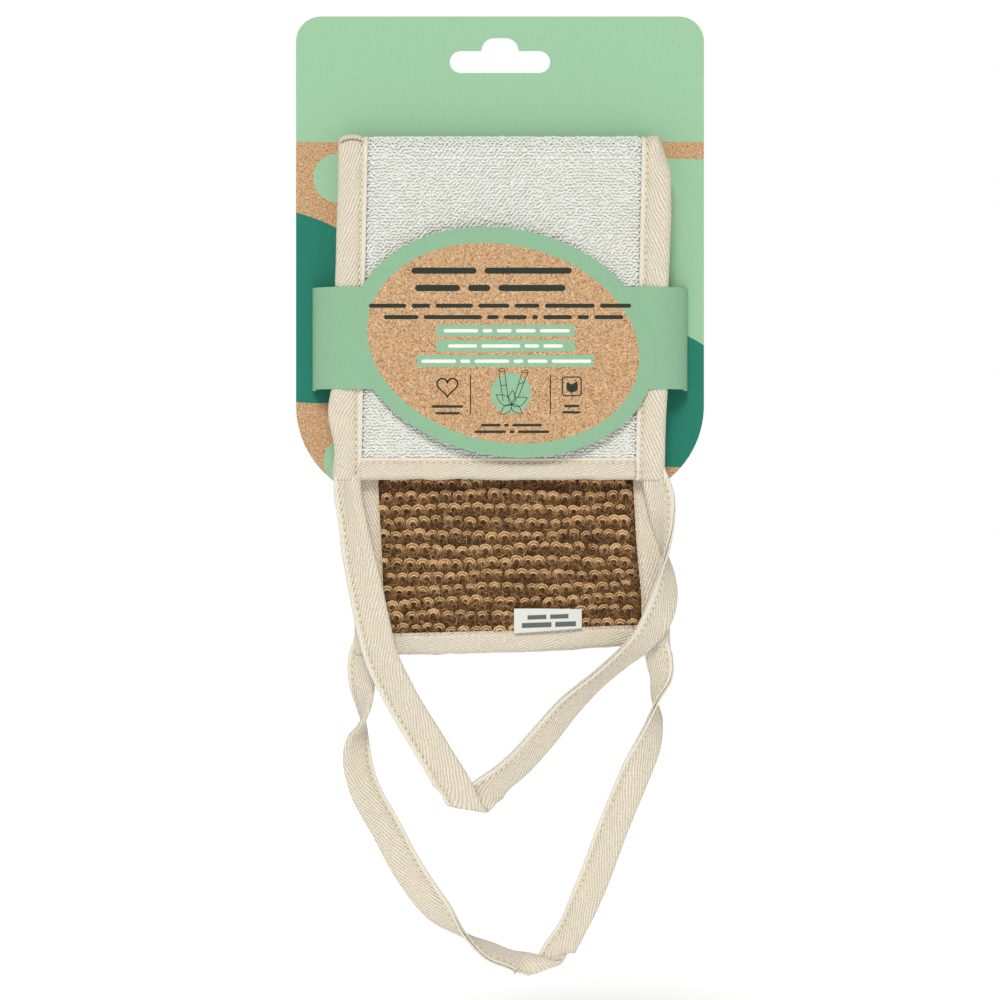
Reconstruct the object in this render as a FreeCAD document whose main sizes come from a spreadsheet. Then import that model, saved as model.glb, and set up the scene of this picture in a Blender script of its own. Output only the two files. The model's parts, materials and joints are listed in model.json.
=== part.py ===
"""Back scrubber strap, folded once and held on a hang card by a paper belly band.

The strap has a terry face and a crocheted jute face. Cotton tape binds its edges and runs
on past both ends as carrying loops. Millimetres, +Z up, the front looks towards -Y.
The origin is the centre of the card's hanging slot, on the card's front face.
"""
import FreeCAD, Part
import math
import os
import re
import Sketcher
from FreeCAD import Vector

# ---------------------------------------------------------------- driving sizes
SIZES = {
    # hang card
    "card_tall": 154.0,
    "card_above_slot": 14.5,
    "card_thick": 0.5,
    "card_top_round": 8.0,
    "card_bottom_round": 30.0,
    # hanging slot: a long slot with a bump in the middle of its top edge
    "slot_wide": 32.0,
    "slot_tall": 7.0,
    "bump_wide": 11.8,
    "bump_above": 7.6,
    "bump_round": 4.0,
    # belly band
    "band_tall": 32.0,
    "band_drop": 88.4,
    "band_thick": 0.4,
    "band_flare": 4.7,
    "band_lead": 0.5,
    "slit_margin": 5.9,
    "band_card_gap": 0.4,
    "tail_lap": 8.0,
    "oval_margin": 6.0,
    "oval_tall": 72.4,
    "oval_shift": 1.0,
    "oval_drop": 89.6,
    "oval_tilt": 12.0,
    "glue_round": 4.0,
    "glue_thick": 0.2,
    "slit_gap": 0.3,
    # strap
    "strap_wide": 106.0,
    "strap_shift": 0.8,
    "fold_drop": 24.2,
    "front_long": 109.0,
    "rear_long": 164.2,
    "terry_thick": 2.0,
    "jute_thick": 2.6,
    "ply_gap": 0.1,
    "fold_gap": 0.9,
    "card_gap": 0.6,
    "sleeve_gap": 0.6,
    # binding tape
    "side_tape_wide": 9.5,
    "end_tape_wide": 7.0,
    "tape_thick": 0.6,
    "side_hem": 8.0,
    "end_hem": 5.5,
    "hem_gap": 0.05,
    # sewing thread
    "thread_wide": 0.5,
    "thread_proud": 0.25,
    "stitch_in": 1.6,
    # carrying loops
    "loop_turned_in": 0.5,
    "loop_tape_thick": 1.6,
    "loop_gap": 0.6,
    "front_loop_drop": 103.0,
    "rear_loop_drop": 98.4,
    # woven label
    "label_wide": 21.5,
    "label_tall": 7.0,
    "label_thick": 0.5,
    "label_shift": 15.2,
    "label_gap": 0.3,
    "label_overlap": 0.5,
}

# Places worked out from the sizes. The fold's radii run outwards from the middle of the fold.
PLACES = {
    "jute_inside": "fold_gap / 2",
    "jute_outside": "jute_inside + jute_thick",
    "terry_inside": "jute_outside + ply_gap",
    "terry_outside": "terry_inside + terry_thick",
    "hem_inside": "jute_inside + tape_thick + hem_gap",
    "hem_outside": "terry_outside - tape_thick - hem_gap",
    "fold_across": "-(card_gap + terry_outside)",
    "fold_up": "-(fold_drop + terry_outside)",
    "front_end": "-(fold_drop + front_long)",
    "rear_end": "-(fold_drop + rear_long)",
    "half_strap": "strap_wide / 2",
    "half_face": "half_strap - side_tape_wide",
    "front_face": "fold_across - terry_outside",
    "rear_face": "fold_across + terry_outside",
    "rear_jute_face": "fold_across + jute_inside",
    "band_inside": "-(card_gap + 2 * terry_outside + sleeve_gap)",
    "shoulder": "half_strap + strap_shift + sleeve_gap",
    "band_reach": "shoulder + band_flare",
    "card_wide": "2 * (band_reach + slit_margin)",
    "oval_wide": "2 * (shoulder - oval_margin)",
    "inner_tail": "card_thick + band_card_gap",
    "outer_tail": "inner_tail + band_thick + glue_thick",
    "half_band": "band_thick / 2",
    "loop_tape_wide": "side_tape_wide - loop_turned_in",
    "loop_drop_to_axis": "loop_tape_thick / 2 + loop_gap",
}

doc = FreeCAD.newDocument("back_scrubber")
sheet = doc.addObject("Spreadsheet::Sheet", "Sizes")
for row, (alias, number) in enumerate(SIZES.items(), start=1):
    sheet.set(f"A{row}", alias)
    sheet.set(f"B{row}", str(number))
    sheet.setAlias(f"B{row}", alias)
doc.recompute()


def formula(text):
    """The sheet's form of a formula: places are spelled out and sizes point at their cells."""
    def spell(match):
        word = match.group()
        if word in PLACES:
            return "(" + formula(PLACES[word]) + ")"
        return "Sizes." + word if word in SIZES else word
    return re.sub(r"[a-z]\w*", spell, text)


def value(text):
    """What a formula comes to now, in millimetres."""
    return float(sheet.evalExpression(formula(text)))


def bind(thing, path, text):
    thing.setExpression(path, formula(text))


# ---------------------------------------------------------------- sketches and features
def new_body(label, shift="0"):
    body = doc.addObject("PartDesign::Body", "body_" + label)
    body.Label = label
    bind(body, "Placement.Base.x", shift)
    return body


def new_sketch(body, plane, offset="0"):
    """A sketch on one of the body's own origin planes, moved along that plane's normal."""
    sketch = body.newObject("Sketcher::SketchObject", "sketch")
    support = [item for item in body.Origin.OriginFeatures if item.Role == plane][0]
    sketch.AttachmentSupport = (support, [""])
    sketch.MapMode = "FlatFace"
    bind(sketch, "AttachmentOffset.Base.z", offset)
    return sketch


def constrain(sketch, text, *terms):
    """A dimension whose value follows a formula."""
    index = sketch.addConstraint(Sketcher.Constraint(*terms, value(text)))
    sketch.setExpression(f"Constraints[{index}]", formula(text))


def pin(sketch, curve, point, across, up):
    constrain(sketch, across, "DistanceX", -1, 1, curve, point)
    constrain(sketch, up, "DistanceY", -1, 1, curve, point)


def polygon(sketch, corners):
    """A closed outline through corners given as pairs of formulas."""
    places = [Vector(value(across), value(up), 0) for across, up in corners]
    count = len(corners)
    first = sketch.GeometryCount
    for index in range(count):
        sketch.addGeometry(Part.LineSegment(places[index], places[(index + 1) % count]), False)
    for index in range(count):
        following = first + (index + 1) % count
        sketch.addConstraint(Sketcher.Constraint("Coincident", first + index, 2, following, 1))
        pin(sketch, first + index, 1, *corners[index])


def rectangle(sketch, left, right, bottom, top):
    polygon(sketch, [(left, bottom), (right, bottom), (right, top), (left, top)])


def folded_layer(sketch, inside, outside, front_end, rear_end):
    """The side view of a layer of the folded strap: a front leg, a half ring and a rear leg."""
    across, up = value("fold_across"), value("fold_up")
    small, large = value(inside), value(outside)
    low_front, low_rear = value(front_end), value(rear_end)
    centre = Vector(across, up, 0)
    corners = [
        Vector(across - large, up, 0), Vector(across - large, low_front, 0),
        Vector(across - small, low_front, 0), Vector(across - small, up, 0),
        Vector(across + small, up, 0), Vector(across + small, low_rear, 0),
        Vector(across + large, low_rear, 0), Vector(across + large, up, 0),
    ]
    axis = Vector(0, 0, 1)
    outer = sketch.addGeometry(Part.ArcOfCircle(Part.Circle(centre, axis, large), 0, math.pi), False)
    inner = sketch.addGeometry(Part.ArcOfCircle(Part.Circle(centre, axis, small), 0, math.pi), False)
    lines = []
    for start in (0, 1, 2, 4, 5, 6):
        lines.append(sketch.addGeometry(Part.LineSegment(corners[start], corners[start + 1]), False))
    front_out, front_low, front_in, rear_in, rear_low, rear_out = lines
    joints = [
        ("Tangent", outer, 2, front_out, 1), ("Coincident", front_out, 2, front_low, 1),
        ("Coincident", front_low, 2, front_in, 1), ("Tangent", front_in, 2, inner, 2),
        ("Tangent", inner, 1, rear_in, 1), ("Coincident", rear_in, 2, rear_low, 1),
        ("Coincident", rear_low, 2, rear_out, 1), ("Tangent", rear_out, 2, outer, 1),
        ("Coincident", inner, 3, outer, 3),
        ("Vertical", front_out), ("Vertical", rear_out),
        ("Horizontal", front_low), ("Horizontal", rear_low),
    ]
    for terms in joints:
        sketch.addConstraint(Sketcher.Constraint(*terms))
    pin(sketch, outer, 3, "fold_across", "fold_up")
    constrain(sketch, outside, "Radius", outer)
    constrain(sketch, inside, "Radius", inner)
    constrain(sketch, front_end, "DistanceY", -1, 1, front_low, 1)
    constrain(sketch, rear_end, "DistanceY", -1, 1, rear_low, 1)


def ellipse(sketch, wide, tall):
    """An ellipse about the sketch's own origin, whose full width and height follow formulas."""
    side = Vector(value(wide) / 2, 0, 0)
    crown = Vector(0, value(tall) / 2, 0)
    curve = sketch.addGeometry(Part.Ellipse(side, crown, Vector(0, 0, 0)), False)
    sketch.exposeInternalGeometry(curve)
    major, minor = curve + 1, curve + 2
    sketch.addConstraint(Sketcher.Constraint("Horizontal", major))
    constrain(sketch, wide, "Distance", major)
    constrain(sketch, tall, "Distance", minor)
    sketch.addConstraint(Sketcher.Constraint("Coincident", curve, 3, -1, 1))


def pad(body, sketch, length):
    feature = body.newObject("PartDesign::Pad", "pad")
    feature.Profile = sketch
    bind(feature, "Length", length)
    doc.recompute()
    return feature


def pocket(body, sketch, length, reverse=False):
    """A cut, which has to take material away."""
    before = body.Shape.Volume
    feature = body.newObject("PartDesign::Pocket", "pocket")
    feature.Profile = sketch
    feature.Reversed = reverse
    bind(feature, "Length", length)
    doc.recompute()
    if body.Shape.Volume >= before - 1e-6:
        raise RuntimeError(f"a pocket in {body.Label} cuts nothing")
    return feature


def fillet(body, feature, radius, chosen):
    """Rounds the edges of the last feature whose middle passes the test."""
    edges = feature.Shape.Edges
    names = [f"Edge{index}" for index, edge in enumerate(edges, start=1) if chosen(edge)]
    rounded = body.newObject("PartDesign::Fillet", "fillet")
    rounded.Base = (feature, names)
    bind(rounded, "Radius", radius)
    doc.recompute()
    return rounded


def runs_through_card(edge):
    """True for an edge that lies along Y, the card's thickness."""
    start, end = edge.Vertexes[0].Point, edge.Vertexes[-1].Point
    return abs(start.x - end.x) < 1e-6 and abs(start.z - end.z) < 1e-6


# ---------------------------------------------------------------- hang card and belly band
def make_hang_card():
    body = new_body("hang_card")
    sketch = new_sketch(body, "XZ_Plane", "-card_thick")
    rectangle(sketch, "-card_wide / 2", "card_wide / 2", "card_above_slot - card_tall", "card_above_slot")
    board = pad(body, sketch, "card_thick")
    top = value("card_above_slot") - 1
    rounded = fillet(body, board, "card_top_round",
                     lambda edge: runs_through_card(edge) and edge.CenterOfMass.z > top)
    low = value("card_above_slot - card_tall") + 1
    fillet(body, rounded, "card_bottom_round",
           lambda edge: runs_through_card(edge) and edge.CenterOfMass.z < low
           and abs(edge.CenterOfMass.x) > value("card_wide / 2") - 1)

    slot = new_sketch(body, "XZ_Plane")
    half_long, half_tall = value("(slot_wide - slot_tall) / 2"), value("slot_tall / 2")
    axis = Vector(0, 0, 1)
    right = slot.addGeometry(Part.ArcOfCircle(Part.Circle(Vector(half_long, 0, 0), axis, half_tall),
                                              -math.pi / 2, math.pi / 2), False)
    left = slot.addGeometry(Part.ArcOfCircle(Part.Circle(Vector(-half_long, 0, 0), axis, half_tall),
                                             math.pi / 2, 3 * math.pi / 2), False)
    above = slot.addGeometry(Part.LineSegment(Vector(half_long, half_tall, 0),
                                              Vector(-half_long, half_tall, 0)), False)
    below = slot.addGeometry(Part.LineSegment(Vector(-half_long, -half_tall, 0),
                                              Vector(half_long, -half_tall, 0)), False)
    for terms in (("Tangent", right, 2, above, 1), ("Tangent", above, 2, left, 1),
                  ("Tangent", left, 2, below, 1), ("Tangent", below, 2, right, 1)):
        slot.addConstraint(Sketcher.Constraint(*terms))
    constrain(slot, "slot_tall / 2", "Radius", right)
    pin(slot, right, 3, "(slot_wide - slot_tall) / 2", "0")
    pin(slot, left, 3, "-(slot_wide - slot_tall) / 2", "0")
    pocket(body, slot, "card_thick")

    bump = new_sketch(body, "XZ_Plane")
    rectangle(bump, "-bump_wide / 2", "bump_wide / 2", "0", "bump_above")
    cut = pocket(body, bump, "card_thick")
    crown = value("bump_above") - 0.1
    half_bump = value("bump_wide / 2") + 0.1
    fillet(body, cut, "bump_round",
           lambda edge: runs_through_card(edge) and abs(edge.CenterOfMass.z - crown) < 0.2
           and abs(edge.CenterOfMass.x) < half_bump)

    for sign in ("", "-"):
        slit = new_sketch(body, "XZ_Plane")
        middle = f"{sign}band_reach"
        rectangle(slit, f"{middle} - half_band - slit_gap", f"{middle} + half_band + slit_gap",
                  "-band_drop - band_tall / 2 - slit_gap", "-band_drop + band_tall / 2 + slit_gap")
        pocket(body, slit, "card_thick")
    return body


def make_belly_band():
    body = new_body("belly_band")
    strip = new_sketch(body, "XY_Plane", "-band_drop - band_tall / 2")
    outer_front = "band_inside - band_thick"
    turn = "-band_lead"
    polygon(strip, [
        ("tail_lap", "outer_tail + band_thick"),
        ("-band_reach - half_band", "outer_tail + band_thick"),
        ("-band_reach - half_band", turn),
        ("-shoulder - half_band", outer_front),
        ("shoulder + half_band", outer_front),
        ("band_reach + half_band", turn),
        ("band_reach + half_band", "inner_tail + band_thick"),
        ("-tail_lap", "inner_tail + band_thick"),
        ("-tail_lap", "inner_tail"),
        ("band_reach - half_band", "inner_tail"),
        ("band_reach - half_band", turn),
        ("shoulder - half_band", "band_inside"),
        ("-shoulder + half_band", "band_inside"),
        ("-band_reach + half_band", turn),
        ("-band_reach + half_band", "outer_tail"),
        ("tail_lap", "outer_tail"),
    ])
    pad(body, strip, "band_tall")
    oval = new_sketch(body, "XZ_Plane", "-band_inside")
    bind(oval, "AttachmentOffset.Base.x", "oval_shift")
    bind(oval, "AttachmentOffset.Base.y", "-oval_drop")
    bind(oval, "AttachmentOffset.Rotation.Angle", "-oval_tilt * 1 deg")
    ellipse(oval, "oval_wide", "oval_tall")
    pad(body, oval, "band_thick")
    return body


def make_glue_dot():
    dot = doc.addObject("Part::Cylinder", "glue_dot")
    dot.Label = "band_glue_dot"
    bind(dot, "Radius", "glue_round")
    bind(dot, "Height", "glue_thick")
    dot.Placement = FreeCAD.Placement(Vector(0, 0, 0), FreeCAD.Rotation(Vector(1, 0, 0), -90))
    bind(dot, "Placement.Base.y", "inner_tail + band_thick")
    bind(dot, "Placement.Base.z", "-band_drop")
    return dot


# ---------------------------------------------------------------- faces and bindings
def make_face(label, inside, outside, hem_inside, hem_outside):
    """One fabric face: its full thickness between the bindings, and a pressed hem inside them."""
    body = new_body(label, "strap_shift")
    face = new_sketch(body, "YZ_Plane", "-half_face")
    folded_layer(face, inside, outside, "front_end + end_tape_wide", "rear_end + end_tape_wide")
    pad(body, face, "2 * half_face")
    hem = new_sketch(body, "YZ_Plane", "-half_face - side_hem")
    folded_layer(hem, hem_inside, hem_outside, "front_end + end_tape_wide - end_hem",
                 "rear_end + end_tape_wide - end_hem")
    pad(body, hem, "2 * (half_face + side_hem)")
    return body


def make_side_binding(label, inner_edge, slot_start):
    """Folded tape along one side, over the fold from the front end to the rear end."""
    body = new_body(label, "strap_shift")
    tape = new_sketch(body, "YZ_Plane", inner_edge)
    folded_layer(tape, "jute_inside", "terry_outside", "front_end", "rear_end")
    pad(body, tape, "side_tape_wide")
    slot = new_sketch(body, "YZ_Plane", slot_start)
    folded_layer(slot, "hem_inside - hem_gap", "hem_outside + hem_gap",
                 "front_end + end_tape_wide - end_hem - hem_gap",
                 "rear_end + end_tape_wide - end_hem - hem_gap")
    pocket(body, slot, "side_hem + hem_gap", reverse=True)
    return body


def make_end_binding(label, end, direction):
    """Folded tape across one end, a channel that is open at its top. direction is - at the front."""
    body = new_body(label, "strap_shift")
    channel = new_sketch(body, "YZ_Plane", "-half_face")
    outside = f"fold_across {direction} terry_outside"
    inside = f"fold_across {direction} jute_inside"
    slot_outside = f"fold_across {direction} (hem_outside + hem_gap)"
    slot_inside = f"fold_across {direction} (hem_inside - hem_gap)"
    top = f"{end} + end_tape_wide"
    floor = f"{end} + end_tape_wide - end_hem - hem_gap"
    polygon(channel, [(outside, end), (inside, end), (inside, top), (slot_inside, top),
                      (slot_inside, floor), (slot_outside, floor), (slot_outside, top), (outside, top)])
    pad(body, channel, "2 * half_face")
    return body


# ---------------------------------------------------------------- sewing threads
def make_side_thread(label, left_edge, inside, outside):
    body = new_body(label, "strap_shift")
    seam = new_sketch(body, "YZ_Plane", left_edge)
    folded_layer(seam, inside, outside, "front_end + stitch_in", "rear_end + stitch_in")
    pad(body, seam, "thread_wide")
    return body


def make_end_thread(label, end, near, far):
    body = new_body(label, "strap_shift")
    seam = new_sketch(body, "YZ_Plane", "-half_face")
    middle = f"{end} + end_tape_wide - stitch_in"
    rectangle(seam, near, far, f"{middle} - thread_wide / 2", f"{middle} + thread_wide / 2")
    pad(body, seam, "2 * half_face")
    return body


# ---------------------------------------------------------------- carrying loops
def rounded_route(points):
    """Straight runs joined by tangent arcs, as stations of a point and its left-hand normal."""
    stations = []
    start = points[0]
    for before, corner, after in zip(points, points[1:], points[2:]):
        arriving = (corner - before).normalize()
        leaving = (after - corner).normalize()
        turn = math.atan2(arriving.x * leaving.y - arriving.y * leaving.x, arriving * leaving)
        reach = 0.45 * min((corner - before).Length, (after - corner).Length)
        radius = reach / math.tan(abs(turn) / 2)
        side = math.copysign(1, turn)
        normal_in = Vector(-arriving.y, arriving.x, 0)
        normal_out = Vector(-leaving.y, leaving.x, 0)
        arc_start = corner - arriving * reach
        arc_end = corner + leaving * reach
        centre = arc_start + normal_in * (side * radius)
        towards = (corner - centre).normalize()
        stations.append([(start, normal_in), (arc_start, normal_in)])
        stations.append([(arc_start, normal_in), (centre + towards * radius, towards * -side),
                         (arc_end, normal_out)])
        start = arc_end
    last = (points[-1] - points[-2]).normalize()
    normal = Vector(-last.y, last.x, 0)
    stations.append([(start, normal), (points[-1], normal)])
    return stations


def ribbon(stations, low, high, near, far):
    """A flat strip along the route, between two offsets across it and two depths."""
    def place(point, normal, offset):
        return Vector(point.x + normal.x * offset, near, point.y + normal.y * offset)

    def curve(run, offset):
        places = [place(point, normal, offset) for point, normal in run]
        return Part.LineSegment(*places) if len(places) == 2 else Part.Arc(*places)

    first, last = stations[0][0], stations[-1][-1]
    edges = [curve(run, low).toShape() for run in stations]
    edges.append(Part.LineSegment(place(*last, low), place(*last, high)).toShape())
    edges += [curve(run, high).toShape() for run in reversed(stations)]
    edges.append(Part.LineSegment(place(*first, high), place(*first, low)).toShape())
    outline = Part.Wire(Part.__sortEdges__(edges))
    return Part.Face(outline).extrude(Vector(0, far - near, 0))


# Each loop's route: across in half spans between the two bindings, and down in loop drops.
FRONT_ROUTE = [(-1, 0), (-1, 0.10), (-0.93, 0.28), (-0.79, 0.52), (-0.48, 0.78), (-0.20, 1.0),
               (0.27, 0.78), (0.65, 0.59), (0.97, 0.44), (1.06, 0.27), (1, 0.10), (1, 0)]
REAR_ROUTE = [(-0.95, 0), (-0.95, 0.10), (-0.93, 0.24), (-0.92, 0.40), (-0.77, 0.58), (-0.43, 0.82),
              (-0.03, 0.97), (0.36, 1.0), (0.58, 0.77), (0.74, 0.53), (1.02, 0.27), (1.03, 0.12), (1.03, 0)]


def loop_stations(route, end, drop):
    span = value("half_strap - side_tape_wide / 2")
    top = value(f"{end} - loop_drop_to_axis")
    middle = value("strap_shift")
    return rounded_route([Vector(middle + across * span, top - down * value(drop), 0)
                          for across, down in route])


def set_shape(label, shape):
    feature = doc.addObject("Part::Feature", "solid_" + label)
    feature.Label = label
    feature.Shape = shape
    feature.Placement = FreeCAD.Placement()
    return feature


def make_loop(label, thread_label, route, end, drop, depth, outwards):
    """A loop of tape in front of or behind its hinge line, and the thread that sews it shut."""
    stations = loop_stations(route, end, drop)
    half_wide, half_thick = value("loop_tape_wide / 2"), value("loop_tape_thick / 2")
    tape = ribbon(stations, -half_wide, half_wide, depth - half_thick, depth + half_thick)
    for point, _ in (stations[0][0], stations[-1][-1]):
        rolled_end = Part.makeCylinder(half_thick, 2 * half_wide,
                                       Vector(point.x - half_wide, depth, point.y), Vector(1, 0, 0))
        tape = tape.fuse(rolled_end)
    tape = tape.removeSplitter()
    seam = half_wide - value("stitch_in")
    face = depth + outwards * half_thick
    thread = ribbon(stations, seam - value("thread_wide") / 2, seam + value("thread_wide") / 2,
                    face, face + outwards * value("thread_proud"))
    return [set_shape(label, tape), set_shape(thread_label, thread)]


# ---------------------------------------------------------------- woven label
def make_label():
    """A label sewn by its lower edge, with a rolled foot that it turns on."""
    body = new_body("woven_label", "strap_shift")
    near = "rear_jute_face - label_gap - label_thick"
    foot = "rear_end + end_tape_wide - label_overlap"
    cloth = new_sketch(body, "YZ_Plane", "label_shift - label_wide / 2 - strap_shift")
    middle = f"({near} + label_thick / 2)"
    axis = Vector(0, 0, 1)
    half = value("label_thick / 2")
    low = Vector(value(middle), value(foot), 0)
    high = low + Vector(0, value("label_tall"), 0)
    bottom = cloth.addGeometry(Part.ArcOfCircle(Part.Circle(low, axis, half), math.pi, 2 * math.pi), False)
    front = cloth.addGeometry(Part.LineSegment(high - Vector(half, 0, 0), low - Vector(half, 0, 0)), False)
    back = cloth.addGeometry(Part.LineSegment(low + Vector(half, 0, 0), high + Vector(half, 0, 0)), False)
    top = cloth.addGeometry(Part.LineSegment(high + Vector(half, 0, 0), high - Vector(half, 0, 0)), False)
    for terms in (("Tangent", front, 2, bottom, 1), ("Tangent", bottom, 2, back, 1),
                  ("Coincident", back, 2, top, 1), ("Coincident", top, 2, front, 1),
                  ("Vertical", front), ("Horizontal", top)):
        cloth.addConstraint(Sketcher.Constraint(*terms))
    constrain(cloth, "label_thick / 2", "Radius", bottom)
    pin(cloth, bottom, 3, middle, foot)
    constrain(cloth, f"{foot} + label_tall", "DistanceY", -1, 1, top, 1)
    pad(body, cloth, "label_wide")
    return body


# ---------------------------------------------------------------- the whole article
parts = [
    make_hang_card(),
    make_belly_band(),
    make_glue_dot(),
    make_face("terry_face", "terry_inside", "terry_outside", "terry_inside", "hem_outside"),
    make_face("jute_face", "jute_inside", "jute_outside", "hem_inside", "jute_outside"),
    make_side_binding("left_side_binding", "-half_strap", "-half_face - side_hem - hem_gap"),
    make_side_binding("right_side_binding", "half_face", "half_face"),
    make_end_binding("front_end_binding", "front_end", "-"),
    make_end_binding("rear_end_binding", "rear_end", "+"),
]
LEFT_SEAM = "-half_face - stitch_in - thread_wide / 2"
RIGHT_SEAM = "half_face + stitch_in - thread_wide / 2"
for side, seam_edge in (("left", LEFT_SEAM), ("right", RIGHT_SEAM)):
    parts.append(make_side_thread(f"{side}_needle_thread", seam_edge,
                                  "terry_outside", "terry_outside + thread_proud"))
    parts.append(make_side_thread(f"{side}_bobbin_thread", seam_edge,
                                  "jute_inside - thread_proud", "jute_inside"))
for place, end_of_strap, sense in (("front", "front_end", "-"), ("rear", "rear_end", "+")):
    outside_face = f"fold_across {sense} terry_outside"
    inside_face = f"fold_across {sense} jute_inside"
    parts.append(make_end_thread(f"{place}_end_needle_thread", end_of_strap,
                                 outside_face, f"{outside_face} {sense} thread_proud"))
    parts.append(make_end_thread(f"{place}_end_bobbin_thread", end_of_strap,
                                 f"fold_across {sense} (jute_inside - thread_proud)", inside_face))
parts += make_loop("front_carrying_loop", "front_loop_thread", FRONT_ROUTE, "front_end",
                   "front_loop_drop", value("front_face"), -1)
parts += make_loop("rear_carrying_loop", "rear_loop_thread", REAR_ROUTE, "rear_end",
                   "rear_loop_drop", value("rear_face"), 1)
parts.append(make_label())
doc.recompute()

for item in doc.Objects:
    if "Invalid" in item.State or "Error" in item.State:
        raise RuntimeError(f"{item.Label} is {item.State}")
for item in parts:
    shape = item.Shape
    if shape.isNull() or not shape.isValid() or not shape.Solids:
        raise RuntimeError(f"{item.Label} is not a valid solid")

os.makedirs("parts", exist_ok=True)
for item in parts:
    item.Shape.exportStep(f"parts/{item.Label}.step")
    box = item.Shape.BoundBox
    print(f"{item.Label:26s} solids {len(item.Shape.Solids)} volume {item.Shape.Volume:9.1f}"
          f"  x {box.XMin:7.2f} {box.XMax:7.2f}  y {box.YMin:7.2f} {box.YMax:6.2f}"
          f"  z {box.ZMin:8.2f} {box.ZMax:8.2f}")
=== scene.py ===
# %% [markdown]
# A back scrubber strap on its hang card, drawn over a measured model.
# The measured model gives every place in metres: X to the right, Y away from the viewer, Z up, with the
# origin in the middle of the card's hanging slot. This lesson adds the cloth, yarn, thread and print.
# The measured box is kept first.

# %% Load the measured model
import json
import math
import bmesh
import bpy
import numpy as np
from mathutils import Matrix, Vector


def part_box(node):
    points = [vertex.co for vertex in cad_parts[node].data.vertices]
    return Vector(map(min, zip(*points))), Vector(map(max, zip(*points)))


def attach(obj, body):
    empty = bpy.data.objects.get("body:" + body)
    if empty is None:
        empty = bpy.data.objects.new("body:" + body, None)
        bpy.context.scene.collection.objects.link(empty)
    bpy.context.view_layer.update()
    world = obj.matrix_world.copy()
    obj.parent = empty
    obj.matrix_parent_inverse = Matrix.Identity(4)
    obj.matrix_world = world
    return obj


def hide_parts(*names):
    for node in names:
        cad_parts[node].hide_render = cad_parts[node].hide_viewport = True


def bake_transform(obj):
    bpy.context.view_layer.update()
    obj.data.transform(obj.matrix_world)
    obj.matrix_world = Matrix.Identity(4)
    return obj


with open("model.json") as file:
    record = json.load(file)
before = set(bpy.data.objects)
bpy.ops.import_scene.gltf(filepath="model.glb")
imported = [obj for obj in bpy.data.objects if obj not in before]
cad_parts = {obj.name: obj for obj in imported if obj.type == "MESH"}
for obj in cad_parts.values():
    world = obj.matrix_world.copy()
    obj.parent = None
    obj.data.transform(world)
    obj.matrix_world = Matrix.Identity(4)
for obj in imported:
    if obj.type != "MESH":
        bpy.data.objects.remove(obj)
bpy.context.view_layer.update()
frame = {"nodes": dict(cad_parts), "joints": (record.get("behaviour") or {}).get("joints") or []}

MM = 0.001


# %% [markdown]
# Small helpers come next. A primitive made by an operator is selected all over, and so is everything that
# was just loaded, so each step starts by deselecting all. Colours are written as a printer reads them,
# from 0 to 255, and turned into the linear numbers that a shader wants.

# %% Helpers for objects and colours
def deselect_all():
    for other in bpy.context.selected_objects:
        other.select_set(False)


def only(piece):
    deselect_all()
    piece.select_set(True)
    bpy.context.view_layer.objects.active = piece
    return piece


def modify(piece, name, kind, **settings):
    modifier = piece.modifiers.new(name, kind)
    for setting, value in settings.items():
        setattr(modifier, setting, value)


def apply_all(piece):
    only(piece)
    bpy.ops.object.transform_apply(location=True, rotation=True, scale=True)
    for modifier in list(piece.modifiers):
        bpy.ops.object.modifier_apply(modifier=modifier.name)
    return piece


def colour(red, green, blue):
    linear = [c / 255 / 12.92 if c <= 10 else ((c / 255 + 0.055) / 1.055) ** 2.4 for c in (red, green, blue)]
    return (*linear, 1.0)


def smooth(value, low, high):
    share = np.clip((np.asarray(value, float) - low) / (high - low), 0, 1)
    return share * share * (3 - 2 * share)


# %% Helpers for meshes made from numbers
def make_piece(name, points, faces, uv=None, tone=None):
    """A mesh object from its corner points and faces; uv and tone are given for each point."""
    mesh = bpy.data.meshes.new(name)
    mesh.from_pydata(np.asarray(points, float).tolist(), [], [list(map(int, face)) for face in faces])
    mesh.update()
    if uv is not None:
        layer = mesh.uv_layers.new(name="cloth")
        corner = np.zeros(len(mesh.loops), int)
        mesh.loops.foreach_get("vertex_index", corner)
        layer.data.foreach_set("uv", np.asarray(uv, np.float32)[corner].ravel())
    if tone is not None:
        mesh.attributes.new("tone", "FLOAT", "POINT").data.foreach_set("value", np.asarray(tone, np.float32))
    mesh.polygons.foreach_set("use_smooth", [True] * len(mesh.polygons))
    piece = bpy.data.objects.new(name, mesh)
    bpy.context.scene.collection.objects.link(piece)
    return piece


def grid_faces(rows, columns, closed=False):
    """Faces of a grid of points, row after row; closed joins each row's last point to its first."""
    across = columns if closed else columns - 1
    return [(r * columns + c, r * columns + (c + 1) % columns,
             (r + 1) * columns + (c + 1) % columns, (r + 1) * columns + c)
            for r in range(rows - 1) for c in range(across)]


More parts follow.
